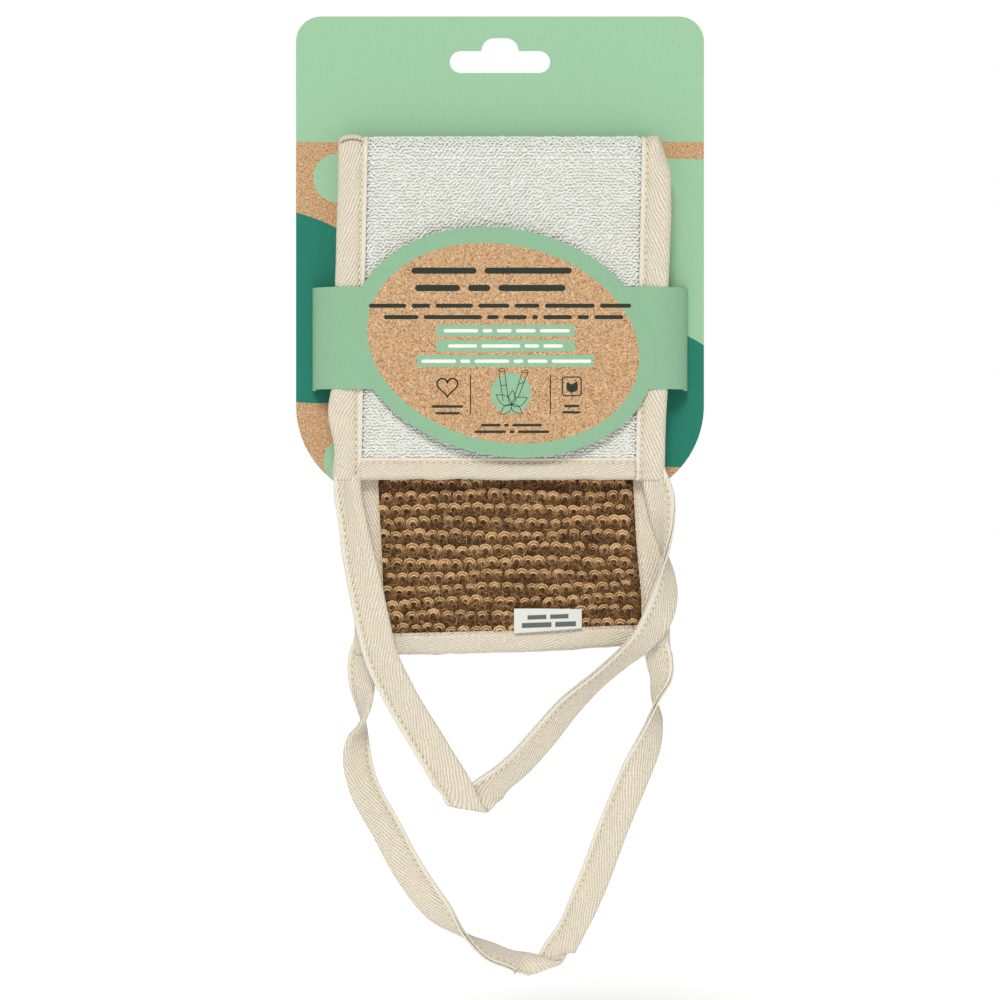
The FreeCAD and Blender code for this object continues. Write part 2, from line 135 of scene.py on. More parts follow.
def curve_through(stations, step):
    """Points every step along a smooth line through the stations (Catmull-Rom, with chord lengths)."""
    stations = np.asarray(stations, float)
    knots = np.concatenate([[0], np.cumsum(np.linalg.norm(np.diff(stations[:, :3], axis=0), axis=1))])
    slopes = np.gradient(stations, knots, axis=0)
    reach = np.linspace(0, knots[-1], max(2, int(round(knots[-1] / step)) + 1))
    index = np.clip(np.searchsorted(knots, reach, side="right") - 1, 0, len(knots) - 2)
    span = (knots[index + 1] - knots[index])[:, None]
    t = ((reach - knots[index])[:, None]) / span
    return ((2 * t**3 - 3 * t**2 + 1) * stations[index] + (t**3 - 2 * t**2 + t) * span * slopes[index]
            + (3 * t**2 - 2 * t**3) * stations[index + 1] + (t**3 - t**2) * span * slopes[index + 1])


def unit(vectors):
    return vectors / np.linalg.norm(vectors, axis=-1, keepdims=True)


# %% [markdown]
# A finish is a small network of nodes. Writing it as plain sums keeps it readable, so one small class wraps
# a node's output and lets + - * ** and abs() add the Math nodes. Colours never pass through a Math node,
# because that turns them grey: they are mixed with a Mix node instead.

# %% A class for shader sums and one for a finish
class Flow:
    """One output of a node, on which plain sums add Math nodes."""

    def __init__(self, finish, socket):
        self.finish, self.socket = finish, socket

    def sum(self, operation, first, second=0.0):
        return self.finish.node("ShaderNodeMath", {"operation": operation}, {0: first, 1: second})

    def __add__(self, other):
        return self.sum("ADD", self, other)

    def __sub__(self, other):
        return self.sum("SUBTRACT", self, other)

    def __mul__(self, other):
        return self.sum("MULTIPLY", self, other)

    def __radd__(self, other):
        return self.sum("ADD", other, self)

    def __rsub__(self, other):
        return self.sum("SUBTRACT", other, self)

    def __pow__(self, other):
        return self.sum("POWER", self, other)

    def __abs__(self):
        return self.sum("ABSOLUTE", self)


class Finish:
    """A material: a Principled surface and the nodes that feed it."""

    def __init__(self, name, **constants):
        self.material = bpy.data.materials.new(name)
        self.material.use_nodes = True
        self.tree = self.material.node_tree
        self.surface = next(n for n in self.tree.nodes if n.type == "BSDF_PRINCIPLED")
        for socket, number in constants.items():
            self.surface.inputs[socket.replace("_", " ")].default_value = number

    def node(self, kind, settings=None, sockets=None, output=0):
        new = self.tree.nodes.new(kind)
        for name, setting in (settings or {}).items():
            setattr(new, name, setting)
        for name, source in (sockets or {}).items():
            if isinstance(source, Flow):
                self.tree.links.new(source.socket, new.inputs[name])
            else:
                new.inputs[name].default_value = source
        return Flow(self, new.outputs[output])

    def place(self):
        return self.node("ShaderNodeTexCoord", output="Object")

    def uv(self):
        return self.node("ShaderNodeUVMap", {"uv_map": "cloth"})

    def tone(self):
        return self.node("ShaderNodeAttribute", {"attribute_name": "tone"}, output="Fac")

    def split(self, vector):
        first = self.node("ShaderNodeSeparateXYZ", None, {0: vector})
        return [Flow(self, first.socket.node.outputs[i]) for i in range(3)]

    def noise(self, vector, scale, detail=2.0, roughness=0.5, distortion=0.0):
        return self.node("ShaderNodeTexNoise", None, {"Vector": vector, "Scale": scale, "Detail": detail,
                                                      "Roughness": roughness, "Distortion": distortion})

    def fade(self, value, low, high):
        return self.node("ShaderNodeMapRange", {"interpolation_type": "SMOOTHSTEP"},
                         {0: value, 1: low, 2: high})

    def wave(self, value):
        """A sine between 0 and 1."""
        return self.node("ShaderNodeMath", {"operation": "SINE"}, {0: value}) * 0.5 + 0.5

    def mix(self, first, second, share):
        return self.node("ShaderNodeMix", {"data_type": "RGBA"}, {0: share, 6: first, 7: second}, output=2)

    def feed(self, base, relief=None, strength=1.0, depth=0.0002):
        links = self.tree.links
        links.new(base.socket, self.surface.inputs["Base Color"])
        if relief is not None:
            bump = self.node("ShaderNodeBump", None,
                             {"Height": relief, "Strength": strength, "Distance": depth})
            links.new(bump.socket, self.surface.inputs["Normal"])
        return self.material


def paint(piece, material):
    piece.data.materials.clear()
    piece.data.materials.append(material)
    return piece


# %% [markdown]
# The article hangs on a display hook, well above a pale floor, against clean white. The light is soft and
# comes from above and in front, as in a studio: one broad sun and an even sky. The camera looks straight at
# the card from far enough away to keep its sides parallel.

# %% Camera, light and floor
VIEW_WIDTH, VIEW_MIDDLE = 318.7 * MM, -139.6 * MM
LENS, SENSOR = 135.0, 36
FLOOR_LEVEL = -0.345
view_distance = VIEW_WIDTH * LENS / SENSOR
camera_data = bpy.data.cameras.new("straight_view")
camera_data.lens = LENS
camera_data.sensor_width = SENSOR
camera_data.clip_start = 0.01
camera = bpy.data.objects.new("straight_view", camera_data)
camera.location = (0, -view_distance, VIEW_MIDDLE)
camera.rotation_euler = (math.radians(90), 0, 0)
bpy.context.scene.collection.objects.link(camera)
bpy.context.scene.camera = camera

sun_data = bpy.data.lights.new("broad_sun", "SUN")
sun_data.energy = 1.72
sun_data.angle = math.radians(20)
sun_data.color = (1.0, 0.985, 0.96)
sun = bpy.data.objects.new("broad_sun", sun_data)
sun.rotation_euler = (math.radians(50), 0, math.radians(-7))
bpy.context.scene.collection.objects.link(sun)

sky = bpy.data.worlds.new("even_sky")
sky.use_nodes = True
bpy.context.scene.world = sky
backdrop = next(n for n in sky.node_tree.nodes if n.type == "BACKGROUND")
seen = sky.node_tree.nodes.new("ShaderNodeBackground")
for shown, strength in ((backdrop, 0.40), (seen, 1.0)):
    shown.inputs["Color"].default_value = (1, 1, 1, 1)
    shown.inputs["Strength"].default_value = strength
ray = sky.node_tree.nodes.new("ShaderNodeLightPath")
either = sky.node_tree.nodes.new("ShaderNodeMixShader")
sky.node_tree.links.new(ray.outputs["Is Camera Ray"], either.inputs[0])
sky.node_tree.links.new(backdrop.outputs[0], either.inputs[1])
sky.node_tree.links.new(seen.outputs[0], either.inputs[2])
sky_output = next(n for n in sky.node_tree.nodes if n.type == "OUTPUT_WORLD")
sky.node_tree.links.new(either.outputs[0], sky_output.inputs["Surface"])
bpy.context.scene.view_settings.view_transform = "Standard"

deselect_all()
bpy.ops.mesh.primitive_plane_add(size=6, location=(0, 0, FLOOR_LEVEL))
floor = apply_all(bpy.context.active_object)
floor.name = "floor"
floor_finish = Finish("pale_floor", Roughness=0.9)
floor_finish.surface.inputs["Base Color"].default_value = (0.92, 0.92, 0.92, 1)
floor_finish.surface.inputs["Emission Color"].default_value = (1, 1, 1, 1)
floor_finish.surface.inputs["Emission Strength"].default_value = 0.45
paint(floor, floor_finish.material)
print("camera", round(view_distance, 3), "m away")


# %% [markdown]
# The hang card is printed kraft board: a mint header, a bare speckled middle and a few big round shapes in
# mint and deep green. Its cut shape is already right, so it keeps its measured mesh. The print is a
# pattern on the board's own coordinates: distances from a centre make the discs, and the height alone makes
# the header. The speckle is three fine noises: dark fibres, pale grains and a few darker flecks.

# %% Kraft board with its printed colours
KRAFT = colour(202, 164, 123)
MINT = colour(154, 197, 161)
TEAL = colour(30, 121, 101)


def kraft_speckle(finish, place):
    fibres = finish.noise(place, 1700, 3.0, 0.75)
    grains = finish.noise(place, 1400, 2.0, 0.7)
    flecks = finish.noise(place, 1500, 0.0)
    board = finish.mix(KRAFT, colour(146, 100, 58), finish.fade(fibres, 0.45, 0.66))
    board = finish.mix(board, colour(229, 198, 162), finish.fade(grains, 0.52, 0.72))
    return finish.mix(board, colour(104, 66, 40), finish.fade(flecks, 0.745, 0.78) * 0.8), fibres


def inked(finish, place, ink, deep):
    mottle = finish.noise(place, 700, 3.0, 0.6)
    return finish.mix(ink, deep, finish.fade(mottle, 0.45, 0.85))


def disc(finish, x, z, centre, radius, tilt=0.0, squeeze=1.0):
    """1 inside a round shape; tilt slants it, squeeze above 1 narrows it."""
    off = (x - centre[0] * MM) * squeeze
    up = z - centre[1] * MM + (x - centre[0] * MM) * tilt
    reach = (off * off + up * up) ** 0.5
    return 1 - finish.fade(reach, (radius - 0.08) * MM, (radius + 0.08) * MM)


def make_card_board():
    finish = Finish("card_board", Roughness=0.72, Specular_IOR_Level=0.25)
    place = finish.place()
    x, y, z = finish.split(place)
    kraft, fibres = kraft_speckle(finish, place)
    mint = inked(finish, place, MINT, colour(146, 189, 153))
    teal = inked(finish, place, TEAL, colour(40, 129, 109))
    right_side = finish.fade(x, 30 * MM, 30.2 * MM)
    below_strip = finish.fade(z * -1 - x * 0.02, 29.6 * MM, 29.8 * MM)
    minty = (disc(finish, x, z, (-51.7, -37.0), 7.8) + disc(finish, x, z, (-48.8, -127.2), 7.5)
             + right_side * below_strip * finish.fade(z, -110 * MM, -109.8 * MM))
    greens = (disc(finish, x, z, (-68.5, -77.5), 30.3, tilt=0.19, squeeze=0.75)
              + disc(finish, x, z, (48.0, -105.8), 22.5, tilt=0.2, squeeze=0.72))
    face = finish.mix(kraft, mint, finish.fade(minty, 0.4, 0.6))
    face = finish.mix(face, teal, finish.fade(greens, 0.4, 0.6))
    face = finish.mix(face, mint, finish.fade(z, -25.55 * MM, -25.4 * MM))
    front = 1 - finish.fade(y, 0.01 * MM, 0.03 * MM)
    back = finish.fade(y, 0.47 * MM, 0.49 * MM)
    core = finish.mix(colour(214, 196, 168), kraft, back)
    return finish.feed(finish.mix(core, face, front), relief=fibres, strength=0.25, depth=0.00006)


card_board = make_card_board()
paint(frame["nodes"]["hang_card"], card_board)


# %% [markdown]
# The strap hangs folded over in the middle, so everything on it follows one bent line. It is easiest to
# make each cloth flat, measured by three numbers, and to bend them all by one rule: how far along the pad
# (run), how high above its middle towards the terry (rise), and how far across (x). The rule also lets the
# hanging halves settle: the front half leans a little left, the rear half is narrower and leans right.

# %% The bent line that all the cloth follows
terry_low, terry_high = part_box("terry_face")
front_binding_low, front_binding_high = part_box("front_end_binding")
rear_binding_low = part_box("rear_end_binding")[0]
fold_y = (terry_low.y + terry_high.y) / 2
half_thick = (front_binding_high.y - front_binding_low.y) / 2
bend = (front_binding_high.y + front_binding_low.y) / -2 + fold_y
fold_z = terry_high.z - half_thick - bend
front_run = fold_z - front_binding_low.z
fold_run = math.pi * bend
rear_run = fold_z - rear_binding_low.z
whole_run = front_run + fold_run + rear_run
middle_x = (front_binding_low.x + front_binding_high.x) / 2
half_face = (front_binding_high.x - front_binding_low.x) / 2
tape_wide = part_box("left_side_binding")[1].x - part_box("left_side_binding")[0].x
HEM = 1.5 * MM
print("pad half thickness", round(half_thick / MM, 2), "bend radius", round(bend / MM, 2),
      "runs", [round(r / MM, 1) for r in (front_run, fold_run, rear_run)])

REAR_START = front_run + fold_run
SETTLE_RUN = np.array([0, front_run / MM, REAR_START / MM, 193, 216, 236, 255, whole_run / MM]) * MM
SETTLE_SHIFT = np.array([-1.3, 0.7, 0.7, 0.8, 0.9, 2.0, 3.2, 2.9]) * MM
SETTLE_WIDTH = np.array([1.0, 1.0, 1.0, 0.935, 0.935, 0.935, 0.945, 0.955])


def on_strap(run, rise, across):
    """Points in space for cloth at run, rise and across, where across is 0 in the middle of the pad."""
    run, rise, across = np.broadcast_arrays(*(np.asarray(v, float) for v in (run, rise, across)))
    turn = np.clip((run - front_run) / bend, 0, math.pi)
    past_front, past_rear = np.minimum(run - front_run, 0), np.maximum(run - REAR_START, 0)
    reach = bend + rise
    y = fold_y - reach * np.cos(turn)
    z = fold_z + reach * np.sin(turn) + past_front - past_rear
    shift = np.interp(run, SETTLE_RUN, SETTLE_SHIFT)
    x = middle_x + across * np.interp(run, SETTLE_RUN, SETTLE_WIDTH) + shift
    lift = 2.3 * MM * smooth(x, 5 * MM, 46 * MM) * smooth(run, whole_run - 40 * MM, whole_run)
    ripple = 0.5 * MM * np.sin(x / (17 * MM) + 0.8) * smooth(run, whole_run - 60 * MM, whole_run)
    return np.stack([x, y, z + lift + ripple], axis=-1)


# %% [markdown]
# Terry is a woven base with thousands of small standing loops. From the front it reads as a mat of short
# white squiggles, so the loops are real: one small arch of a few faces, leaned and turned by chance, is
# copied over the cloth. A seeded chance gives the same cloth each time. Each copy keeps a tone, a number
# that the finish uses to shade it a little.

# %% Copy one small shape over the cloth
def tube(line, thickness, sides):
    """Points and faces of a thin tube along a short line; thickness is its radius at each point."""
    line = np.asarray(line, float)
    ahead = unit(np.gradient(line, axis=0))
    up = np.tile([0.0, 1.0, 0.0], (len(line), 1))
    side = unit(np.cross(ahead, up))
    above = np.cross(side, ahead)
    angles = np.arange(sides) * 2 * math.pi / sides
    thickness = np.broadcast_to(thickness, len(line))
    rings = (line[:, None, :] + thickness[:, None, None] * (np.cos(angles)[None, :, None] * side[:, None, :]
             + np.sin(angles)[None, :, None] * above[:, None, :]))
    faces = grid_faces(len(line), sides, closed=True)
    last = (len(line) - 1) * sides
    faces += [tuple(range(sides)), tuple(last + k for k in reversed(range(sides)))]
    return rings.reshape(-1, 3), faces


def copies(shape, faces, run, rise, across, turn, size):
    """Many copies of a small shape (run, rise, across), each turned about the cloth's normal and scaled."""
    shape = np.asarray(shape, float)
    count, corners = len(run), len(shape)
    cos, sin = np.cos(turn)[:, None], np.sin(turn)[:, None]
    grown = shape[None, :, :] * np.asarray(size, float).reshape(count, 1, 1)
    along = grown[:, :, 0] * cos - grown[:, :, 2] * sin
    over = grown[:, :, 0] * sin + grown[:, :, 2] * cos
    points = (run[:, None] + along, rise[:, None] + grown[:, :, 1], across[:, None] + over)
    starts = (np.arange(count) * corners)[:, None]
    joined = [tuple(row) for face in faces for row in (starts + np.array(face)[None, :]).tolist()]
    return [p.reshape(-1) for p in points], joined


def two_layers(name, top, under, turned, tone):
    """A closed thin sheet between two grids of points; turned says that its top faces the other way."""
    rows, columns = top.shape[:2]
    count, last_row, end = rows * columns, (rows - 1) * columns, columns - 1
    edges = ([(c, c + 1) for c in range(end)] + [(last_row + c + 1, last_row + c) for c in range(end)]
             + [((r + 1) * columns, r * columns) for r in range(rows - 1)]
             + [(r * columns + end, (r + 1) * columns + end) for r in range(rows - 1)])
    faces = [face[::-1] if turned else face for face in grid_faces(rows, columns)]
    below = [tuple(i + count for i in face[::-1]) for face in faces]
    rim = [(a, b, b + count, a + count) if turned else (b, a, a + count, b + count) for a, b in edges]
    return make_piece(name, np.concatenate([top.reshape(-1, 3), under.reshape(-1, 3)]), faces + below + rim,
                      tone=np.full(2 * count, tone))


def terry_base(name, run_from, run_to, rise):
    runs = np.linspace(run_from, run_to, int((run_to - run_from) / (1.6 * MM)) + 1)
    run, across = np.meshgrid(runs, np.linspace(-half_face - HEM, half_face + HEM, 60), indexing="ij")
    ease = smooth(half_face + HEM - abs(across), 0, 4 * MM)
    top = on_strap(run, rise * (0.35 + 0.65 * ease), across)
    return two_layers(name, top, on_strap(run, np.full_like(run, 0.15 * MM), across), True, 0.35)


LOOP_ROW, LOOP_GAP = 0.98 * MM, 1.42 * MM


def fold_squash(run):
    """How much shorter cloth is along the run, so that the outside of the fold isn't stretched."""
    run = np.asarray(run)
    return np.where((run > front_run) & (run < REAR_START), bend / (bend + 1.8 * MM), 1.0)


def terry_loops(name, run_from, run_to, seed):
    chance = np.random.default_rng(seed)
    shape, faces = tube(np.array([(-0.10, -0.30, -0.62), (0.04, 0.20, -0.46), (0.12, 0.34, 0.0),
                                  (0.04, 0.20, 0.46), (-0.10, -0.30, 0.62)]) * MM, 0.34 * MM, 4)
    lines = [run_from]
    while lines[-1] < run_to - LOOP_ROW:
        lines.append(lines[-1] + LOOP_ROW * fold_squash(lines[-1] + LOOP_ROW / 2))
    rows = np.arange(-half_face + 0.5 * MM, half_face - 0.6 * MM, LOOP_GAP)
    run, across = np.meshgrid(lines, rows, indexing="ij")
    across = (across + (np.arange(len(lines)) % 2)[:, None] * LOOP_GAP / 2).ravel()
    run = run.ravel()
    squash = fold_squash(run)
    run = run + chance.normal(0, 0.15 * MM, len(run)) * squash
    across = across + chance.normal(0, 0.17 * MM, len(run))
    rise = 1.68 * MM + chance.normal(0, 0.06 * MM, len(run))
    rise = rise - 0.4 * MM * (1 - smooth(half_face - abs(across), 0, 2.2 * MM))
    drift = 0.30 * np.sin(across / (11 * MM) + seed) + 0.25 * np.sin(run / (14 * MM))
    turn = -0.35 + drift + chance.normal(0, 0.42, len(run))
    size = chance.uniform(0.86, 1.12, len(run))
    (r, h, a), joined = copies(shape, faces, run, rise, across, turn, size)
    r = np.repeat(run, len(shape)) + (r - np.repeat(run, len(shape))) * np.repeat(squash, len(shape))
    tone = np.repeat(chance.uniform(0.5, 1.0, len(run)), len(shape))
    print(name, len(run), "loops")
    return make_piece(name, on_strap(r, h, a), joined, tone=tone)


def make_bamboo_terry():
    finish = Finish("bamboo_terry", Roughness=0.95, Specular_IOR_Level=0.15, Sheen_Weight=0.25)
    place, tone = finish.place(), finish.tone()
    fluff = finish.noise(place, 2600, 2.0, 0.7)
    patch = finish.noise(place, 60, 2.0)
    base = finish.mix(colour(226, 228, 220), colour(241, 242, 236), finish.fade(tone, 0.2, 1.0))
    base = finish.mix(base, colour(217, 220, 211), finish.fade(fluff, 0.5, 0.85) * 0.7)
    base = finish.mix(base, colour(232, 232, 222), finish.fade(patch, 0.5, 0.8) * 0.6)
    return finish.feed(base, relief=fluff, strength=0.3, depth=0.0001)


bamboo_terry = make_bamboo_terry()
terry_cloth = terry_base("terry_cloth", HEM, whole_run - HEM, 1.5 * MM)
paint(terry_cloth, bamboo_terry)
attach(terry_cloth, "strap")
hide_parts("terry_face")
cuts = [7.4 * MM, front_run * 0.98, REAR_START + rear_run * 0.48, whole_run - 7.4 * MM]
for number, (start, stop) in enumerate(zip(cuts[:-1], cuts[1:])):
    pile = terry_loops(f"terry_pile_{number + 1}", start, stop, 11 + number)
    paint(pile, bamboo_terry)
    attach(pile, "strap")


# %% [markdown]
# The other face is crocheted jute: rows of round loops of coarse yarn over a fuzzy ground, with stray
# hairs everywhere. The ground is one plain relief sheet, painted nearly black as painted shade deep between
# the loops. Each crochet loop is four thin strands side by side, laid in an arch, so that the yarn looks
# fibrous without a heavy mesh; its tone paints a highlight on the crown and shade down the legs and on the
# innermost strand. It is copied in rows where the jute shows below the front half.

# %% Jute ground, crochet loops and stray hairs
ROW_PITCH = 4.25 * MM
LOOP_PITCH = 4.05 * MM


def jute_ground():
    runs = np.arange(HEM, whole_run - HEM, 1.2 * MM)
    run, across = np.meshgrid(runs, np.linspace(-half_face - HEM, half_face + HEM, 76), indexing="ij")
    inside = smooth(half_face + HEM - abs(across), 0, 4 * MM)
    relief = (0.22 * MM * np.cos(run * 2 * math.pi / ROW_PITCH)
              + 0.12 * MM * np.sin(across / (0.9 * MM) + run * 900))
    low = -(0.9 * MM + 0.35 * MM * inside) - relief * inside
    top = on_strap(run, np.maximum(low, -1.7 * MM), across)
    # Its tone of 0.03 paints the whole ground nearly black, as painted shade in the hollows between the
    # loops.
    return two_layers("jute_ground", top, on_strap(run, np.full_like(run, 0.05 * MM), across), False, 0.03)


def crochet_strands():
    """One arch of yarn: four strands side by side round its crown, as (run, rise, across), and a tone for
    each point: painted highlight on the crown, painted shade down the legs and on the innermost strand.
    """
    angles = np.radians(np.linspace(-38, 218, 7))
    crown = smooth(np.sin(angles), -0.2, 0.8)
    points, faces, shade = [], [], []
    for reach, height, painted_strand_light in ((0.72, 0.00, 0.02), (1.12, 0.30, 0.85), (1.52, 0.30, 0.36),
                                  (1.94, 0.05, 0.85)):
        line = np.stack([0.45 - reach * np.sin(angles) * 0.92, -(0.85 + height + 0.95 * crown),
                         reach * np.cos(angles)], axis=1) * MM
        ring, skin = tube(line, (0.21 + 0.05 * crown) * MM, 4)
        faces += [tuple(i + len(points) for i in face) for face in skin]
        points += ring.tolist()
        # Painted light on each strand: its level times the crown factor, so the crown is lighter as a painted
        # highlight and the legs darker as painted shade; the innermost strand, at 0.02, is painted shade
        # inside the arch.
        shade += np.repeat(painted_strand_light * (0.35 + 0.65 * crown), 4).tolist()
    return np.array(points), faces, np.array(shade)


def crochet_loops(run_from, run_to, seed=5):
    chance = np.random.default_rng(seed)
    shape, faces, shade = crochet_strands()
    lines, places = [], []
    for number, line in enumerate(np.arange(run_from, run_to, ROW_PITCH)):
        first = -half_face + 1.2 * MM + (number % 2) * 0.4 * LOOP_PITCH
        row = np.arange(first, half_face - 1.9 * MM, LOOP_PITCH)
        places.append(row)
        lines.append(np.full(len(row), line) + 0.5 * MM * np.sin(row / (9 * MM) + number))
    run, across = np.concatenate(lines), np.concatenate(places)
    run = run + chance.normal(0, 0.22 * MM, len(run))
    across = across + chance.normal(0, 0.28 * MM, len(run))
    rise = chance.normal(0, 0.10 * MM, len(run))
    turn = chance.normal(0.0, 0.16, len(run))
    size = chance.uniform(0.92, 1.16, len(run))
    (r, h, a), joined = copies(shape, faces, run, rise, across, turn, size)
    # Each loop's random tone, plus its strands' painted highlight and painted shade.
    tone = np.repeat(chance.uniform(0.0, 0.30, len(run)), len(shape)) + np.tile(shade, len(run))
    print("crochet loops", len(run))
    h = np.maximum(h, -half_thick - 0.3 * MM)
    return make_piece("crochet_loops", on_strap(r, h, a), joined, tone=tone)


def stray_hairs(name, count, run_from, run_to, low, high, seed):
    """Thin curved hairs that lie over the jute, each three flat faces in a row."""
    chance = np.random.default_rng(seed)
    run = chance.uniform(run_from, run_to, count)
    across = chance.uniform(-half_face + 0.5 * MM, half_face - 0.5 * MM, count)
    length = chance.uniform(0.8 * MM, 2.4 * MM, count)
    heading = chance.uniform(0, 2 * math.pi, count)
    bow = chance.normal(0, 0.55, count)
    lift = chance.uniform(low, high, (count, 4))
    wide = chance.uniform(0.04 * MM, 0.08 * MM, count)
    points = []
    for step in range(4):
        share = (step - 1.5) / 1.5
        course = heading + bow * share
        along = run + length * share * np.cos(course)
        over = across + length * share * np.sin(course)
        half = wide * (0.35 if step in (0, 3) else 1.0)
        for sign in (-1, 1):
            points.append(on_strap(along - sign * half * np.sin(course), -lift[:, step],
                                   np.clip(over + sign * half * np.cos(course), -half_face, half_face)))
    points = np.stack(points, axis=1)
    faces = [(i * 8 + 2 * s, i * 8 + 2 * s + 1, i * 8 + 2 * s + 3, i * 8 + 2 * s + 2)
             for i in range(count) for s in range(3)]
    tone = np.repeat(chance.uniform(0.0, 0.75, count), 8)
    return make_piece(name, points.reshape(-1, 3), faces, tone=tone)


def make_jute_yarn():
    finish = Finish("jute_crochet", Roughness=0.85, Specular_IOR_Level=0.25, Sheen_Weight=0.15)
    place, tone = finish.place(), finish.tone()
    fibres = finish.noise(place, 2200, 3.0, 0.75, 0.6)
    patch = finish.noise(place, 260, 2.0, 0.6)
    # Tone brings painted light in: the near-black colour is painted shade for the ground, the loop legs and
    # the inner strands, and the palest colour is the crowns' painted highlight as well as pale fibres and
    # hairs.
    shade = tone * 0.85 + fibres * 1.15 + patch * 0.4 - 0.74
    base = finish.mix(colour(42, 24, 9), colour(148, 106, 60), finish.fade(shade, -0.04, 0.33))
    base = finish.mix(base, colour(236, 198, 146), finish.fade(shade, 0.38, 0.86))
    return finish.feed(base, relief=fibres, strength=0.7, depth=0.00025)


jute_yarn = make_jute_yarn()
jute_sheet = jute_ground()
shown_from, shown_to = REAR_START + rear_run * 0.55, whole_run - 7.2 * MM
jute_rows = crochet_loops(shown_from, shown_to)
jute_hairs = stray_hairs("jute_hairs", 5000, shown_from, shown_to + 0.6 * MM, 1.2 * MM, 2.75 * MM, 9)
for piece in (jute_sheet, jute_rows, jute_hairs):
    paint(piece, jute_yarn)
    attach(piece, "strap")
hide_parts("jute_face")


# %% [markdown]
# Herringbone cotton tape wraps every raw edge, folded in two over it and sewn through. Its section is a
# rounded hook: a crown where the padding fills it, a dip where the stitches pull it down. One section is
# swept along the bent line for each side, and a shorter one across each end. The weave is drawn in the tape's
# own lengths, out from its fold on both halves, so its ribs meet in a herringbone there, with painted shade
# in its dips. The stitched column is a little tan, partly its own colour and partly painted shade in the
# stitched dip; the selvage is lighter.

# %% Sweep a section along a line
TAPE_HALF = 11 * MM
SEAM_IN = 1.9 * MM
STITCH_PITCH = 2.1 * MM


def sweep(name, rings, fold_at, tone=None):
    """Joins rings of points into a closed skin; uv runs round the ring and along the sweep, in metres.

    Round the ring, 0 is the tape's middle, where it folds, and TAPE_HALF is its edge on either side."""
    rings = np.asarray(rings)
    count, around = rings.shape[:2]
    middle = rings.mean(axis=1)
    along = np.concatenate([[0], np.cumsum(np.linalg.norm(np.diff(middle, axis=0), axis=1))])
    typical = rings[count // 2]
    round_it = np.concatenate([[0], np.cumsum(np.linalg.norm(np.diff(typical, axis=0), axis=1))])
    round_it = (round_it - round_it[fold_at]) * TAPE_HALF / round_it[fold_at]
    uv = np.stack(np.broadcast_arrays(round_it[None, :], along[:, None]), axis=-1).reshape(-1, 2)
    faces = grid_faces(count, around, closed=True)
    last = (count - 1) * around
    faces += [tuple(reversed(range(around))), tuple(last + k for k in range(around))]
    return make_piece(name, rings.reshape(-1, 3), faces, uv=uv, tone=tone)


def turn_out(piece):
    """Makes every face of a closed skin point outwards."""
    only(piece)
    bpy.ops.object.mode_set(mode="EDIT")
    bpy.ops.mesh.select_all(action="SELECT")
    bpy.ops.mesh.normals_make_consistent(inside=False)
    bpy.ops.object.mode_set(mode="OBJECT")
    return piece


CROWN = curve_through([(0.0, 0.10, 0), (0.5, 0.32, 0), (1.4, 0.02, 0), (2.4, 0.30, 0), (4.2, 0.52, 0),
                       (6.4, 0.50, 0), (8.0, 0.26, 0), (9.0, -0.35, 0), (9.5, -1.2, 0)], 0.55)[:, :2]


def hook_section(wide, thick):
    """Half width in, the tape's outer skin from its seam edge round to the other seam edge, then back."""
    share = CROWN / np.array([CROWN[-1, 0], 1.0])
    outer = np.stack([share[:, 0] * wide, thick + share[:, 1] * MM], axis=1)
    skin = np.concatenate([outer, outer[::-1] * (1, -1)])
    inner = skin.copy()
    inner[:, 0] = np.minimum(inner[:, 0] * 0.93 + 0.1 * MM, wide - 0.62 * MM)
    inner[:, 1] = inner[:, 1] - np.sign(inner[:, 1]) * 0.6 * MM
    return np.concatenate([skin, inner[::-1]])


def pucker(run, inset):
    """The left tape is rolled over at the fold: a low roll with a sharp curved crease in front of it; the
    crease also comes back alone, to be painted dark as painted shade.
    """
    crease = front_run + (1.55 + 0.75 * np.sin(np.clip(inset / tape_wide, 0, 1) * math.pi)) * MM
    outer_end = smooth(inset, tape_wide - 1.6 * MM, tape_wide - 0.2 * MM)
    reach = smooth(inset, 0.8 * MM, 2.4 * MM) * (1 - outer_end)
    groove = np.exp(-((run - crease) / (0.20 * MM)) ** 2) * reach
    roll = np.exp(-((run - crease - 1.1 * MM) / (1.0 * MM)) ** 2) * reach
    return 0.45 * MM * roll - 1.0 * MM * groove, groove


END_TAPE = 7.0 * MM


